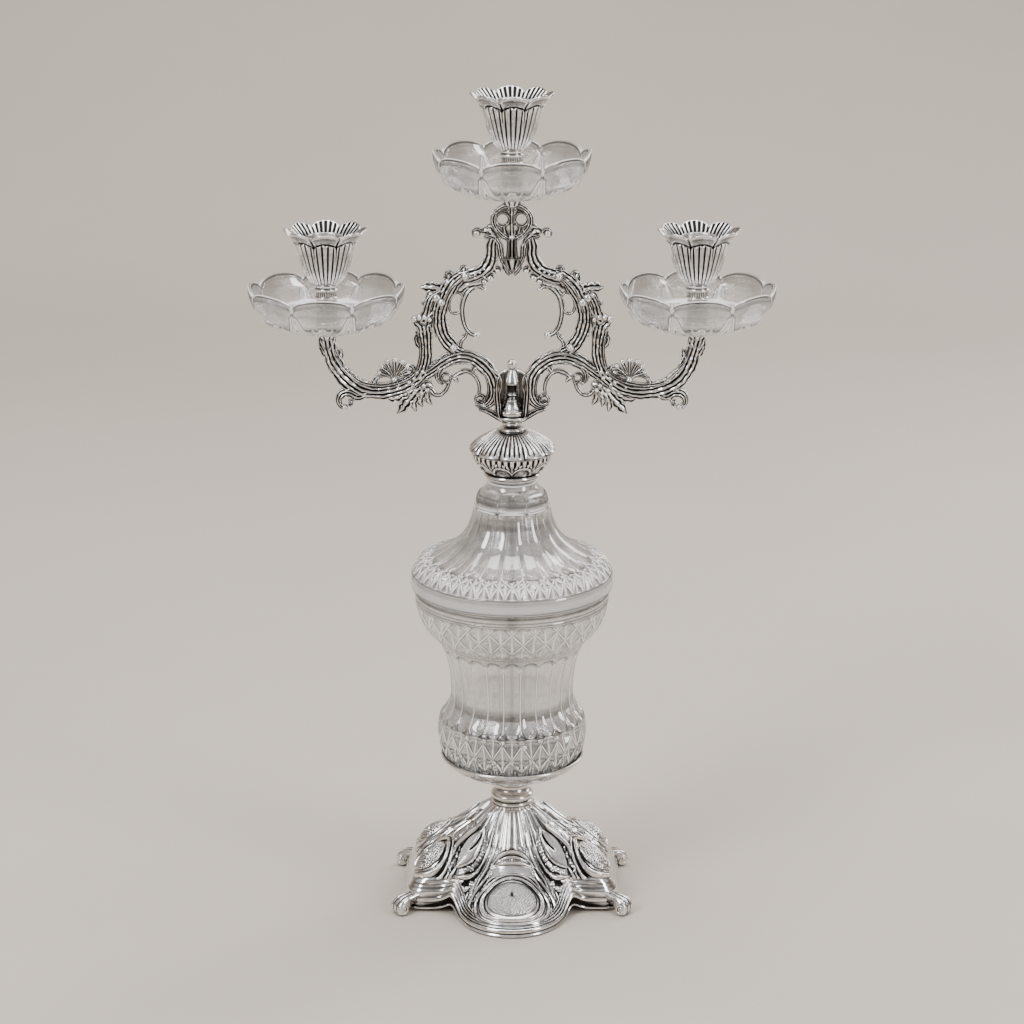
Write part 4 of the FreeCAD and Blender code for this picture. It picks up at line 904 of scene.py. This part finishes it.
def draw_arm(pen, reach, light):
    """The arm from the S out to its light, and its horn up to the C."""
    pen.sweep([(reach, light + 0.4), (reach - 1.6, light - 7), (reach - 4.6, light - 16),
               (reach - 10, light - 24.8), (reach - 17.5, light - 31.4), (100, 21.6),
               (92, 20.2), (84, 20.6), (76, 22.6), (68.4, 26.6), (62.8, 32), (59.4, 39),
               (58, 47), (58.2, 56), (59.6, 66)],
              [8, 8.6, 9.4, 10, 9.6, 8.8, 8.4, 8.4, 8.2, 7.6, 6.8, 7.2, 7.8],
              [8.6, 9.4, 9.4, 9, 8.6, 8.6], 4, 0.55)
    # raised rail along the inner edge
    pen.sweep([(reach - 4.6, light - 6), (reach - 9, light - 17), (103, 27.2), (92, 24.9),
               (83, 25.6), (74, 28.2), (66, 33.6), (62.9, 41), (61.8, 50), (62.4, 58)],
              [1.4, 2.2, 2.2, 1.8], [8, 10, 9.6], 1, 0.1)
    pen.leaf([(reach - 3, light - 16), (reach - 8, light - 12), (reach - 9.4, light - 6.5)],
             4.4, 3, 7)
    pen.curl(reach - 8.6, light - 8.6, 2.0, -90, 0.8, 1.5, 5)
    pen.leaf([(reach - 9, light - 24), (reach - 4, light - 20), (reach + 1.2, light - 13.4)],
             5, 4, 7.4)
    pen.leaf([(reach - 1, light - 12), (reach + 3, light - 8), (reach + 4.6, light - 1.6)],
             3.6, 3, 7)
    for lean in (-3.4, 3.4):
        pen.leaf([(reach + lean * 0.4, light - 7), (reach + lean, light - 3),
                  (reach + lean * 1.5, light + 1.4)], 4.2, 2, 9)
    # capital of the horn
    for x, z, radius in ((66, 70.6, 2.2), (62.6, 71.8, 2.3), (59, 72, 2.2), (55.6, 70.4, 2.1)):
        pen.ball(x, z, radius, depth=1.6)
    pen.leaf([(60.5, 62), (63.4, 66.6), (67.2, 69.6)], 4.4, 3, 7)
    pen.leaf([(59, 62), (56.6, 66), (53.4, 68.6)], 4.0, 3, 7)
    pen.curl(64.4, 59.6, 2.0, 60, 0.9, 1.5, 4.6)
    pen.leaf([(61.4, 50), (64.6, 55), (64.8, 61)], 3.0, 3, 5)
    # curl under the arm
    pen.sweep([(98, 19), (105, 17), (111, 19.6), (115.6, 18.6), (118, 14.6), (116.8, 10.6),
               (113.8, 8.9)], [3, 5.6, 5.2, 4, 2.6], [7.4, 7, 5.6], 3, 0.5)
    pen.ball(114, 9, 2.0, depth=1.3)
    pen.leaf([(104, 20), (110, 22), (117, 19.6)], 4.6, 4, 6.6)
    pen.curl(110.4, 11.6, 2.2, 60, 0.9, 1.6, 4.8)
    pen.sweep([(106, 17.4), (108, 14.4), (110.6, 12.8)], [2.6, 1.8], [5.4, 4.4], 1, 0.2)
    # cuff where arm and S meet
    for x, z in ((64.6, 34), (62, 30.2), (66.6, 30), (69.8, 27.2), (60.6, 34.6)):
        pen.ball(x, z, 2.0, depth=2.1)
    for x, z in ((72.6, 19), (67.6, 25.8), (77.4, 24)):
        pen.ball(x, z, 1.5, depth=2.8)


def draw_palmette(pen):
    """A shell over the arm with two eyes beside its fan of ribs."""
    pen.ring(86.8, 27.6, 5.8, 3.7, 1.8, 4.6, -8)
    pen.ring(73.4, 30.4, 5.4, 4.4, 1.8, 4.6, 14)
    pen.leaf([(95, 24.4), (92.6, 29), (88.6, 33.4)], 2.6, 4, 5)
    pen.leaf([(66, 32), (67, 37), (71.6, 39.6)], 2.2, 3, 5)
    base = (79.8, 29.4)
    for index in range(7):
        angle = math.radians(156 - index * 22)
        tip_reach = 11.2 + 2.6 * math.sin(index / 6 * math.pi)
        tip = (base[0] + tip_reach * math.cos(angle), base[1] + 0.9 * tip_reach * math.sin(angle))
        mid = ((base[0] + tip[0]) / 2, (base[1] + tip[1]) / 2 + 0.5)
        pen.sweep([base, mid, tip], [1.3, 2.0, 3.2], [3.6, 5, 6], 1, 0.2, step=0.5)
        pen.ball(tip[0], tip[1], 1.7, depth=1.3)
    pen.ball(79.8, 28.6, 2.4, depth=1.4)


def draw_acanthus(pen):
    """Leaves that hang below the arm."""
    pen.leaf([(62, 24), (68, 17), (73, 11), (78.4, 4.4)], 6.4, 5, 7)
    pen.leaf([(61, 22), (65, 16.4), (66.6, 11), (65.4, 6)], 5, 4, 6.6)
    pen.leaf([(59, 21), (61.6, 16.6), (62.2, 12.6), (61, 9.4)], 4.4, 3, 6)
    pen.leaf([(57, 20.6), (57.6, 16.4), (56.4, 13.4), (54.6, 10.8)], 4, 3, 5.6)
    pen.leaf([(66, 24), (73, 18.6), (79.4, 15.6), (86, 16)], 5.4, 5, 7)
    pen.leaf([(60.4, 24.4), (57, 25.4), (53.6, 23.6)], 4, 3, 5.6)
    for x, z in ((57.6, 21.4), (61.4, 19.4), (60, 24.6), (65.6, 21.2)):
        pen.ball(x, z, 1.9, depth=1.8)
    pen.sweep([(56, 22), (60, 22.6), (66, 22), (71, 19)], [3.4, 4.6, 3.6], [5, 6, 5], 1, 0.2)


def crest(foot):
    """The middle of the branch: a heart with two eyes, a fluted post and a shield below."""
    build = Build()
    for side in (-1, 1):
        pen = Side(build, side, foot)
        pen.sweep([(0.6, 147.6), (5, 147.6), (9.6, 145), (12.2, 140.6), (12, 135.8), (9.4, 131.4),
                   (6, 128), (2.2, 125.6)], [3, 3.4, 3.6, 3.4, 3.0], [8, 9, 8], 3, 0.45)
        pen.ring(6.3, 139, 4.5, 4.6, 2.0, 7)
        pen.leaf([(5.4, 133.8), (4.6, 130), (3, 127)], 3.6, 2, 5.6)
        pen.leaf([(11, 127), (16, 131.4), (20.4, 129.8)], 5.4, 4, 7.4)
        pen.leaf([(10, 130), (14, 134), (17.4, 132.6)], 3.6, 3, 6.4)
        pen.curl(23.6, 129.4, 3.6, 170, 1.15, 2.4, 6.4, -1)
        pen.ball(23.8, 129.4, 2.6, depth=1.35)
        pen.sweep([(18.6, 126.6), (14, 127.6), (10, 125), (7.8, 119.6), (7.2, 113.6), (5.6, 110)],
                  [2, 3.4, 3.6, 3.4, 2.6], [7, 8.6, 8.6, 8], 3, 0.45)
        pen.sweep([(7.6, 111.4), (4.4, 107), (0.6, 102.4)], [1.8, 1.8, 1.8], [7, 7], 1, 0.1)
        pen.sweep([(7.8, 111.6), (4, 112.4), (0, 112.2)], [1.6, 1.8], [7.4, 8], 1, 0.1)
        pen.sweep([(2.6, 125), (2.6, 119), (3, 113.4)], [1.8, 1.8], [9, 9.4], 1, 0.1)
        pen.leaf([(1.4, 101.2), (4.2, 104.6), (6.4, 109)], 2.6, 3, 5.6)
        pen.sweep([(1.4, 148), (3.4, 145), (5.4, 144.4)], [2.4, 1.4], [7, 6], 1, 0.2)
    sweep(build, [(0, foot + 149), (0, foot + 140), (0, foot + 130), (0, foot + 124.5)],
          [3.4, 3.8, 4.4], [8.4, 9.4, 9.6], 2, 0.4)
    sweep(build, [(0, foot + 126), (0, foot + 118), (0, foot + 112)], [5.4, 4.8, 5.6],
          [6.4, 6.4, 7], 1, 0.5)
    sweep(build, [(0, foot + 113), (0, foot + 108), (0, foot + 103)], [12, 8, 2.4],
          [5.4, 5.4, 4.6], 1, 0.25)
    ball(build, 0, foot + 127, 2.4, depth=1.9)
    ball(build, 0, foot + 101.6, 2.3, depth=1.2)
    return build.finish("crest_casting")


def hub(foot):
    """A small dish under the finial and the ribbed half-round niche behind it."""
    build = Build()
    dish = profile(([(2.1, 0.08), (7.4, 0.08)], 0), ([(7.4, 0.08), (9.4, 0.5), (11.4, 2.4)], 10),
                   ([(11.6, 3.4), (10.4, 3.6), (9.4, 2)], 8), ([(2.1, 2)], 0))
    build.grid(lathe_points(dish, 96) + np.array([0, 0, foot]))
    turn = np.linspace(math.radians(-8), math.radians(188), 120)[:, None]
    rise = np.linspace(0, 1, 30)[None, :]
    ribs = 0.55 * np.abs(np.cos(turn * 11)) + 0 * rise
    height = 33.8 - 3.2 * np.abs(np.cos(turn)) ** 2 + 0 * rise
    shells = []
    for radius in (11.4 + ribs * ramp(rise, 0, 0.1), np.full(ribs.shape, 9.3)):
        z = foot + 2 + (height - 2) * rise
        shells.append(np.stack([radius * np.cos(turn), radius * np.sin(turn), z], axis=2))
    wall = np.concatenate([shells[0], shells[1][:, ::-1]], axis=1)
    build.grid(wall, False, True)
    return build.finish("hub_casting")


def build_branch():
    foot = low("branch_hub")[2]
    reach = high("calyx_right")[0] - (high("calyx_right")[0] - low("calyx_right")[0]) / 2
    light = low("calyx_right")[2] - foot
    dress(crest(foot), CAST, "branch", "cast_silver", "crest")
    dress(hub(foot), BRIGHT, "branch", "cast_silver", "branch_hub")
    for side, name in ((-1, "left"), (1, "right")):
        pieces = (("c_casting_", draw_c_scroll, ("c_scroll_", "inner_tendril_")),
                  ("s_casting_", draw_s_scroll, ("s_scroll_", "lower_tendril_")),
                  ("arm_casting_", lambda pen: draw_arm(pen, reach, light),
                   ("arm_", "arm_curl_")),
                  ("palmette_casting_", draw_palmette, ("palmette_",)),
                  ("acanthus_casting_", draw_acanthus, ("acanthus_",)))
        for label, draw, nodes in pieces:
            build = Build()
            draw(Side(build, side, foot))
            dress(build.finish(label + name), CAST, "branch", "cast_silver",
                  *[node + name for node in nodes])


# ---- base ---------------------------------------------------------------------------------
def base_reach(theta):
    """Distance from the axis to the outline of the base: round lobes at the front and back
    run into square sides through soft hollows."""
    c, s = np.abs(np.cos(theta))[:, None], np.abs(np.sin(theta))[:, None]
    r = np.linspace(20, 90, 2801)[None, :]
    x, y = r * c, r * s
    lobe = np.hypot(x, y - 45) - 36.6
    over_x, over_y = x - 63.5, y - 28
    square = np.hypot(np.maximum(over_x, 0), np.maximum(over_y, 0)) - 12
    square += np.minimum(np.maximum(over_x, over_y), 0)
    soft = 22
    overlap = np.maximum(soft - np.abs(lobe - square), 0) / soft
    outline = np.minimum(lobe, square) - overlap * overlap * soft / 4
    last = r.shape[1] - 1 - np.argmax((outline < 0)[:, ::-1], axis=1)
    reach = r[0, last]
    kernel = np.exp(-np.linspace(-2, 2, 17) ** 2)
    padded = np.concatenate([reach[-8:], reach, reach[:8]])
    return np.convolve(padded, kernel / kernel.sum(), mode="valid")


def ridge(x, y, line, width, height, taper=0.35):
    """A raised bead that follows a smooth line over the surface and thins at both ends."""
    path = smooth_line(line, 26)
    away = np.full(x.shape, 1e9)
    share = np.zeros(x.shape)
    for index in range(len(path) - 1):
        start, step = path[index], path[index + 1] - path[index]
        part = ((x - start[0]) * step[0] + (y - start[1]) * step[1]) / (step @ step)
        part = np.clip(part, 0, 1)
        gap = np.hypot(x - start[0] - part * step[0], y - start[1] - part * step[1])
        closer = gap < away
        away = np.where(closer, gap, away)
        share = np.where(closer, (index + part) / (len(path) - 1), share)
    size = np.minimum(1, np.minimum(share, 1 - share) / taper + 0.25)
    return height * size * np.exp(-(away / (width * size)) ** 2)


def oval(x, y, centre, half, turn):
    """Distance from the centre of an oval as a share of its edge. Its upper half, towards the
    axis, is shorter in plan because the base is steeper there."""
    c, s = math.cos(turn), math.sin(turn)
    u = (x - centre[0]) * c + (y - centre[1]) * s
    v = (y - centre[1]) * c - (x - centre[0]) * s
    reach = np.where(v < 0, half[1] * 0.66, half[1])
    return (np.abs(u / half[0]) ** 2.1 + np.abs(v / reach) ** 2.1) ** (1 / 2.1)


# Grooves and frames round a medallion: share of its edge, height and width.
FRAME = ((0.83, -1.5, 0.9), (0.96, 2.3, 1.15), (1.08, -0.9, 0.6), (1.17, 1.2, 0.8))


def medallion(x, y, centre, half, turn):
    """A pebbled dome with a dimple inside two raised frames: its relief, and where it lies."""
    e = oval(x, y, centre, half, turn)
    edge = min(half)
    pebbles = np.cos(3.4 * x + 0.9 * np.sin(1.7 * y)) * np.cos(3.1 * y + 0.9 * np.sin(1.9 * x))
    relief = 4.4 * (1 - np.clip(e / 0.82, 0, 1) ** 2) + 0.5 * pebbles * (1 - ramp(e, 0.70, 0.78))
    relief -= 2.6 * bump(np.hypot(x - centre[0], y - centre[1]), 0, 2.0)
    for share, height, width in FRAME:
        relief += height * np.exp(-((e - share) * edge / width) ** 2)
    return relief, 1 - ramp(e, 1.2, 1.28)


def pod(x, y, start, end, half):
    """A smooth leaf pod with a dark slit, inside a looped rim."""
    step = np.array(end) - np.array(start)
    length = np.linalg.norm(step)
    step /= length
    along = ((x - start[0]) * step[0] + (y - start[1]) * step[1]) / length
    off = (y - start[1]) * step[0] - (x - start[0]) * step[1]
    swell = np.sin(math.pi * np.clip(along, 0.001, 0.999) ** 1.25) ** 0.6 * half
    q = np.abs(off) / np.maximum(swell, 0.3)
    live = (along > 0) * (along < 1)
    relief = live * 3.0 * np.sqrt(np.clip(1 - q * q, 0, 1))
    slit = np.abs(off - 1.2 * np.sin(along * 5)) / 0.7
    open_part = ramp(along, 0.1, 0.2) * (1 - ramp(along, 0.5, 0.6))
    relief -= live * 2.2 * np.exp(-slit ** 2) * open_part
    return relief, live * (1 - ramp(q, 0.98, 1.1))


STROKE_WIDTH = 0.85    # the strokes below are cast this much finer
STROKE_HEIGHT = 0.75   # and this much lower than their numbers say
ORNAMENT = (
    # loops round the pods and down to the frames, from the flutes to the rim
    ([(12, 17), (16, 26), (22, 33.5), (30, 38.5), (37, 39.5), (42, 36.5)], 1.3, 2.3),
    ([(9, 18), (12, 28), (17.5, 36.5), (24, 42.5), (27.5, 48)], 1.1, 1.7),
    ([(17, 12), (25, 17), (34, 21), (41, 26), (44.6, 32), (42.5, 36.5)], 1.3, 2.3),
    ([(19, 8), (30, 10.5), (39, 12), (44, 15.5)], 1.0, 1.5),
    ([(20, 3.5), (33, 3.6), (45, 5.5), (50, 8)], 1.0, 1.5),
    # spear that points down the hollow between lobe and side
    ([(39, 33), (43.5, 37), (47, 39.6), (50.5, 41)], 1.5, 2.2),
    ([(43.5, 34), (49, 38.5), (56, 41.5), (62, 41)], 1.1, 1.4),
    # leaves beside the front medallion
    ([(14.5, 38), (19, 43), (25, 47), (29.5, 53), (30, 60)], 1.3, 2.0),
    ([(13, 43.5), (17, 45.2), (20.5, 49)], 1.0, 1.3),
    ([(26, 50), (25.4, 55), (27.4, 60), (26.5, 66)], 1.1, 1.6),
    ([(31, 45), (33.6, 50), (34.2, 56), (31.4, 62)], 1.0, 1.5),
    ([(30, 42.5), (33, 44), (36.4, 43.4)], 1.3, 1.8),
    # eyelid over the bright panel
    ([(-15, 36.4), (-8, 33.8), (0, 33), (8, 33.8), (15, 36.4)], 1.1, 2.2),
    ([(-14, 37.2), (-7, 38.2), (0, 38.6), (7, 38.2), (14, 37.2)], 0.9, 1.5),
    ([(-9, 36), (-4, 35.7), (4, 35.7), (9, 36)], 0.8, 1.2),
    # curls between the corner medallions
    ([(52, 1), (58, 2.2), (64, 1.6), (68, 3.4)], 1.3, 1.8),
    ([(40, 2), (46, 1.6), (50.5, 3.6), (49.6, 6.6), (46.6, 6.2)], 1.0, 1.4),
    ([(44, 41), (38, 41.4), (33.6, 40.6)], 0.9, 1.2),
)


def base_relief(x, y, to_rim, theta, front):
    """Height of the cast ornament above the plain surface."""
    ax, ay = np.abs(x), np.abs(y)
    radius = np.hypot(x, y)
    lobe_relief, lobe_panel = medallion(ax, ay, (0, 57.6), (22, 16.8), 0.0)
    corner_relief, corner_panel = medallion(ax, ay, (58, 19.5), (14, 15.5), math.radians(10))
    pod_relief, pod_panel = pod(ax, ay, (18.5, 17.5), (38.5, 34.5), 5.4)
    small_relief, small_panel = pod(ax, ay, (21, 5.6), (41, 8.6), 2.2)
    panels = np.clip(lobe_panel + corner_panel + pod_panel + small_panel, 0, 1)
    strokes = np.zeros_like(x)
    for line, width, height in ORNAMENT:
        stroke = ridge(ax, ay, line, STROKE_WIDTH * width, STROKE_HEIGHT * height)
        strokes = np.maximum(strokes, stroke)
    # flutes run down from the collar and end in round heads
    flute = np.abs(np.cos(theta * 17))
    hem = 33.5 - 3.5 * (1 - flute) - 5 * np.abs(np.sin(2 * theta)) ** 2
    flutes = ramp(radius, 14.2, 16.5) * (1 - ramp(radius, hem - 1.2, hem + 0.6))
    relief = flutes * (1 - panels) * (2.6 * flute ** 0.6 - 1.5) * (0.55 + radius / 50)
    # hatched ground, plain on the panel above the front medallion
    plain = (1 - ramp(ax - (ay - 38) * 0.7, 11, 13)) * ramp(ay, 37, 38.5) * front
    swirl = np.sin(0.9 * ax + 1.6 * np.sin(0.45 * ay + 1))
    swirl *= np.sin(0.8 * ay + 1.1 * np.sin(0.5 * ax))
    hatch = np.sin(2.6 * ax + 2.2 * ay) * np.sin(2.4 * ax - 2.5 * ay)
    field = (1 - flutes) * (1 - panels) * (1 - plain) * ramp(to_rim, 8, 10)
    relief += field * (0.45 * swirl + 0.2 * hatch)
    relief += lobe_relief * lobe_panel + corner_relief * corner_panel
    relief += pod_relief * pod_panel + small_relief * small_panel
    relief = np.maximum(relief, strokes * (1 - panels)) + 0.25 * strokes * (1 - panels)
    # mouldings along the rim, stopped by the medallion frames
    edge = (1 - ramp(to_rim, 6.2, 7.6)) * (1 - lobe_panel)
    lines = np.cos(TAU * to_rim / 1.75)
    relief = relief * (1 - edge) + edge * (0.62 * lines * (0.12 + 0.88 * front) + 0.5)
    bead_row = bump(to_rim, 2.2, 0.75) * (1 - front) * edge
    return relief + 0.6 * bead_row


# Mouldings of the skirt: how far outside the outline, and how far below its top or above
# its foot.
SKIRT_TOP = ((0.9, 0.3), (1.2, 1.0), (0.9, 1.7), (0.1, 2.3), (0, 3.0))
SKIRT_FOOT = ((0.3, 1.8), (0.9, 1.1), (1.1, 0.5), (0.6, 0), (-2.2, 0))


def base_casting():
    top = high("base_casting")[2]
    neck = 14.0
    turns, rows = 1080, 210
    theta = np.linspace(0, TAU, turns, endpoint=False)
    reach = base_reach(theta)
    front = ramp(np.abs(np.sin(theta)), 0.5, 0.97)
    lobe = ramp(np.abs(np.sin(theta)), 0.70, 0.86)
    notch = bump(np.degrees(np.arcsin(np.abs(np.sin(theta)))), 47, 6.5)
    foot_level = 0.5 + 5.2 * notch + 2.0 * (1 - lobe)
    rim = (foot_level + 5.0 + 2.6 * (1 - lobe) + 0.8 * notch)[:, None]
    t = np.linspace(0, 1, rows)[None, :] ** 0.9
    sides = np.interp(t, [0, .103, .276, .448, .62, .76, .862, .94, 1],
                      [0, .075, .22, .355, .48, .60, .72, .85, 1])
    lobes = np.interp(t, [0, .059, .126, .192, .296, .444, .636, .873, 1],
                      [0, .075, .17, .28, .42, .585, .76, .935, 1])
    fall = sides * (1 - front[:, None]) + lobes * front[:, None]
    for _ in range(8):
        fall[:, 1:-1] = (fall[:, :-2] + 2 * fall[:, 1:-1] + fall[:, 2:]) / 4
    radius = neck + (reach[:, None] - neck) * t
    z = top - (top - rim) * fall
    x = radius * np.cos(theta)[:, None]
    y = radius * np.sin(theta)[:, None]
    to_rim = (reach[:, None] - neck) * (1 - t)
    relief = base_relief(x, y, to_rim, theta[:, None] + 0 * t, front[:, None])
    relief *= ramp(t, 0, 0.03)
    surface = np.stack([x, y, z], axis=2)
    normal = np.cross(slope(surface, 1, False), slope(surface, 0, True))
    normal /= np.linalg.norm(normal, axis=2)[:, :, None]
    outside = surface + normal * relief[:, :, None]

    def hoop(distance, level):
        return np.stack([distance * np.cos(theta), distance * np.sin(theta),
                         level + 0 * theta], axis=1)[:, None]

    wall = rim[:, 0]
    skirt = [hoop(reach + out, wall - down) for out, down in SKIRT_TOP]
    skirt += [hoop(reach + out, foot_level + up) for out, up in SKIRT_FOOT]
    skirt.append(hoop(reach - 2.6, wall - 2))
    hollow = surface[:, ::-8] * np.array([0.95, 0.95, 1]) - np.array([0, 0, 3.5])
    bore = [hoop(np.full(turns, 3.5), top - 3), hoop(np.full(turns, 3.5), top)]
    build = Build()
    build.grid(np.concatenate([outside] + skirt + [hollow[:, 2:]] + bore, axis=1))
    dress(build.finish("base_dome"), BASE, "stand", "cast_silver", "base_casting")


FOOT_SIZE = 0.82      # the foot is drawn larger than it is


def scroll_foot(name, place, splay):
    """A stout fluted scroll that rolls outwards onto the ground."""
    side = smooth_line([(-7, 17.5), (1, 16.4), (7, 15.4), (12, 13.2), (15.4, 9.4), (16, 5.4),
                        (14.4, 1.8), (11.4, 0.05), (8.4, 0.6), (6.2, 2.8), (5.6, 6),
                        (3.4, 8.6), (-2, 9.6), (-7, 9.6)], 110)
    core = np.array([7.0, 7.6])
    across = np.sin(np.linspace(-1, 1, 41) * math.pi / 2)[:, None]
    squeeze = (1 - across ** 6) ** 0.5 * 0.22 + 0.78
    flutes = 0.75 * (np.abs(np.cos(across * math.pi * 1.5)) - 0.5)
    out = side - core
    unit = out / np.linalg.norm(out, axis=1)[:, None]
    upper = ramp(unit[:, 0] * 0.7 + unit[:, 1] * 0.7, -0.3, 0.3)
    local = core + out * squeeze[:, :, None] + unit * (flutes * upper)[:, :, None]
    local *= FOOT_SIZE
    half = FOOT_SIZE * np.interp(side[:, 0], [-7, 4, 12, 16], [5.6, 6.0, 7.2, 7.4])
    build = Build()
    c, s = math.cos(splay), math.sin(splay)

    def placed(u, v, z):
        return np.stack([u * c - v * s + place[0], u * s + v * c + place[1], z], axis=2)

    build.grid(placed(local[:, :, 0], across * half, local[:, :, 1]), False, True)
    # a snail on each flank of the roll
    turn = np.linspace(0, TAU * 1.6, 60)[:, None]
    hoop = np.linspace(0, TAU, 10, endpoint=False)[None, :]
    spiral = 4.6 - turn * 0.36
    for flank in (-1, 1):
        u = 10.9 + (spiral + 0.85 * np.cos(hoop)) * np.cos(turn)
        v = flank * (6.6 + 0.9 * np.sin(hoop)) + 0 * u
        z = 6.0 + (spiral + 0.85 * np.cos(hoop)) * np.sin(turn)
        build.grid(placed(FOOT_SIZE * u, FOOT_SIZE * v, FOOT_SIZE * z), False, True)
    return build.finish(name)


FOOT_AT = (71.5, 37.6)
FOOT_SPLAY = math.radians(33)


def build_base():
    base_casting()
    for side_x, side_y, where in ((-1, -1, "front_left"), (1, -1, "front_right"),
                                  (-1, 1, "back_left"), (1, 1, "back_right")):
        splay = math.atan2(side_y * math.sin(FOOT_SPLAY), side_x * math.cos(FOOT_SPLAY))
        place = (side_x * FOOT_AT[0], side_y * FOOT_AT[1])
        foot = scroll_foot("scroll_" + where, place, splay)
        dress(foot, BASE, "stand", "cast_silver", "foot_" + where)


# ---- room ---------------------------------------------------------------------------------
def build_room():
    """A pale floor that curves up into a plain backdrop, with a rim far off elsewhere."""
    line = smooth_line([(-12900, 3200), (-12700, 300), (-12000, 30), (-11400, 0), (-6000, 0),
                        (0, 0), (1500, 0), (1900, 60), (2150, 320), (2250, 800),
                        (2280, 5000)], 240)
    rim = ((12000, 0), (12500, 40), (13000, 300), (13200, 3200))
    columns = [(-x, z) for x, z in reversed(rim)] + list(rim)
    rows = [[(x, y, max(z, rise)) for y, z in line] for x, rise in columns]
    build = Build()
    build.grid(np.array(rows, dtype=float), False, False)
    room = build.finish("backdrop")
    room.data.materials.append(BACKDROP)


def area_light(name, place, target, width, height, power):
    data = bpy.data.lights.new(name, "AREA")
    data.shape = "RECTANGLE"
    data.size = width
    data.size_y = height
    data.energy = power
    lamp = bpy.data.objects.new(name, data)
    lamp.location = place
    bpy.context.collection.objects.link(lamp)
    aim = np.array(target) - np.array(place)
    lamp.rotation_euler = Vector(aim).to_track_quat("-Z", "Y").to_euler()


def build_lighting():
    """Four soft lamps, in metres and watts, under a sky that is dark near the horizon."""
    area_light("key", (-1.6, -1.6, 1.9), (0, 0, 0.3), 0.8, 1.5, power=46)
    area_light("fill", (1.9, -1.3, 1.1), (0, 0, 0.3), 0.5, 1.6, power=24)
    area_light("overhead", (0, 0.2, 2.6), (0, 0, 0), 2.4, 1.8, power=58)
    area_light("back_strip", (1.3, 1.2, 1.2), (0, 0, 0.35), 0.4, 1.6, power=16)
    world = bpy.data.worlds.new("studio")
    bpy.context.scene.world = world
    look = Look(world)
    split = look.node("SeparateXYZ", {"Vector": look.node("TexCoord").outputs["Generated"]})
    tone = look.tones(look.range(split.outputs["Z"], -1.0, 1.0, 0.0, 1.0),
                      (0.0, (0.20, 0.20, 0.19)), (0.44, (0.02, 0.02, 0.02)),
                      (0.60, (0.05, 0.05, 0.05)), (0.72, (0.55, 0.54, 0.53)),
                      (1.0, (1.0, 0.99, 0.97)))
    look.feed(look.nodes["Background"], {"Color": tone, "Strength": 0.8})


def build_camera():
    """A long lens a little above the lights, looking down at the middle of the candelabra."""
    looks_down = 17.11
    data = bpy.data.cameras.new("camera")
    data.sensor_width = 36
    data.lens = 94.7
    camera = bpy.data.objects.new("camera", data)
    camera.location = (0, -1.777, 0.8307)
    camera.rotation_euler = (math.radians(90 - looks_down), 0, 0)
    bpy.context.collection.objects.link(camera)
    bpy.context.scene.camera = camera


# ---- assembly -----------------------------------------------------------------------------
build_camera()
build_lights()
crystal_urn()
crystal_lid()
build_turnings()
knop()
build_branch()
build_base()
build_room()
build_lighting()

NODE_LOOKS = {"cast_silver": CAST, "bright_silver": BRIGHT, "crystal": CRYSTAL, "steel": STEEL,
              "gasket": GASKET, "felt": FELT}
for subpart in frame["record"]["subparts"]:
    node = frame["nodes"][subpart["node"]]
    for slot in node.material_slots:
        slot.material = NODE_LOOKS[subpart["material_slot"]]
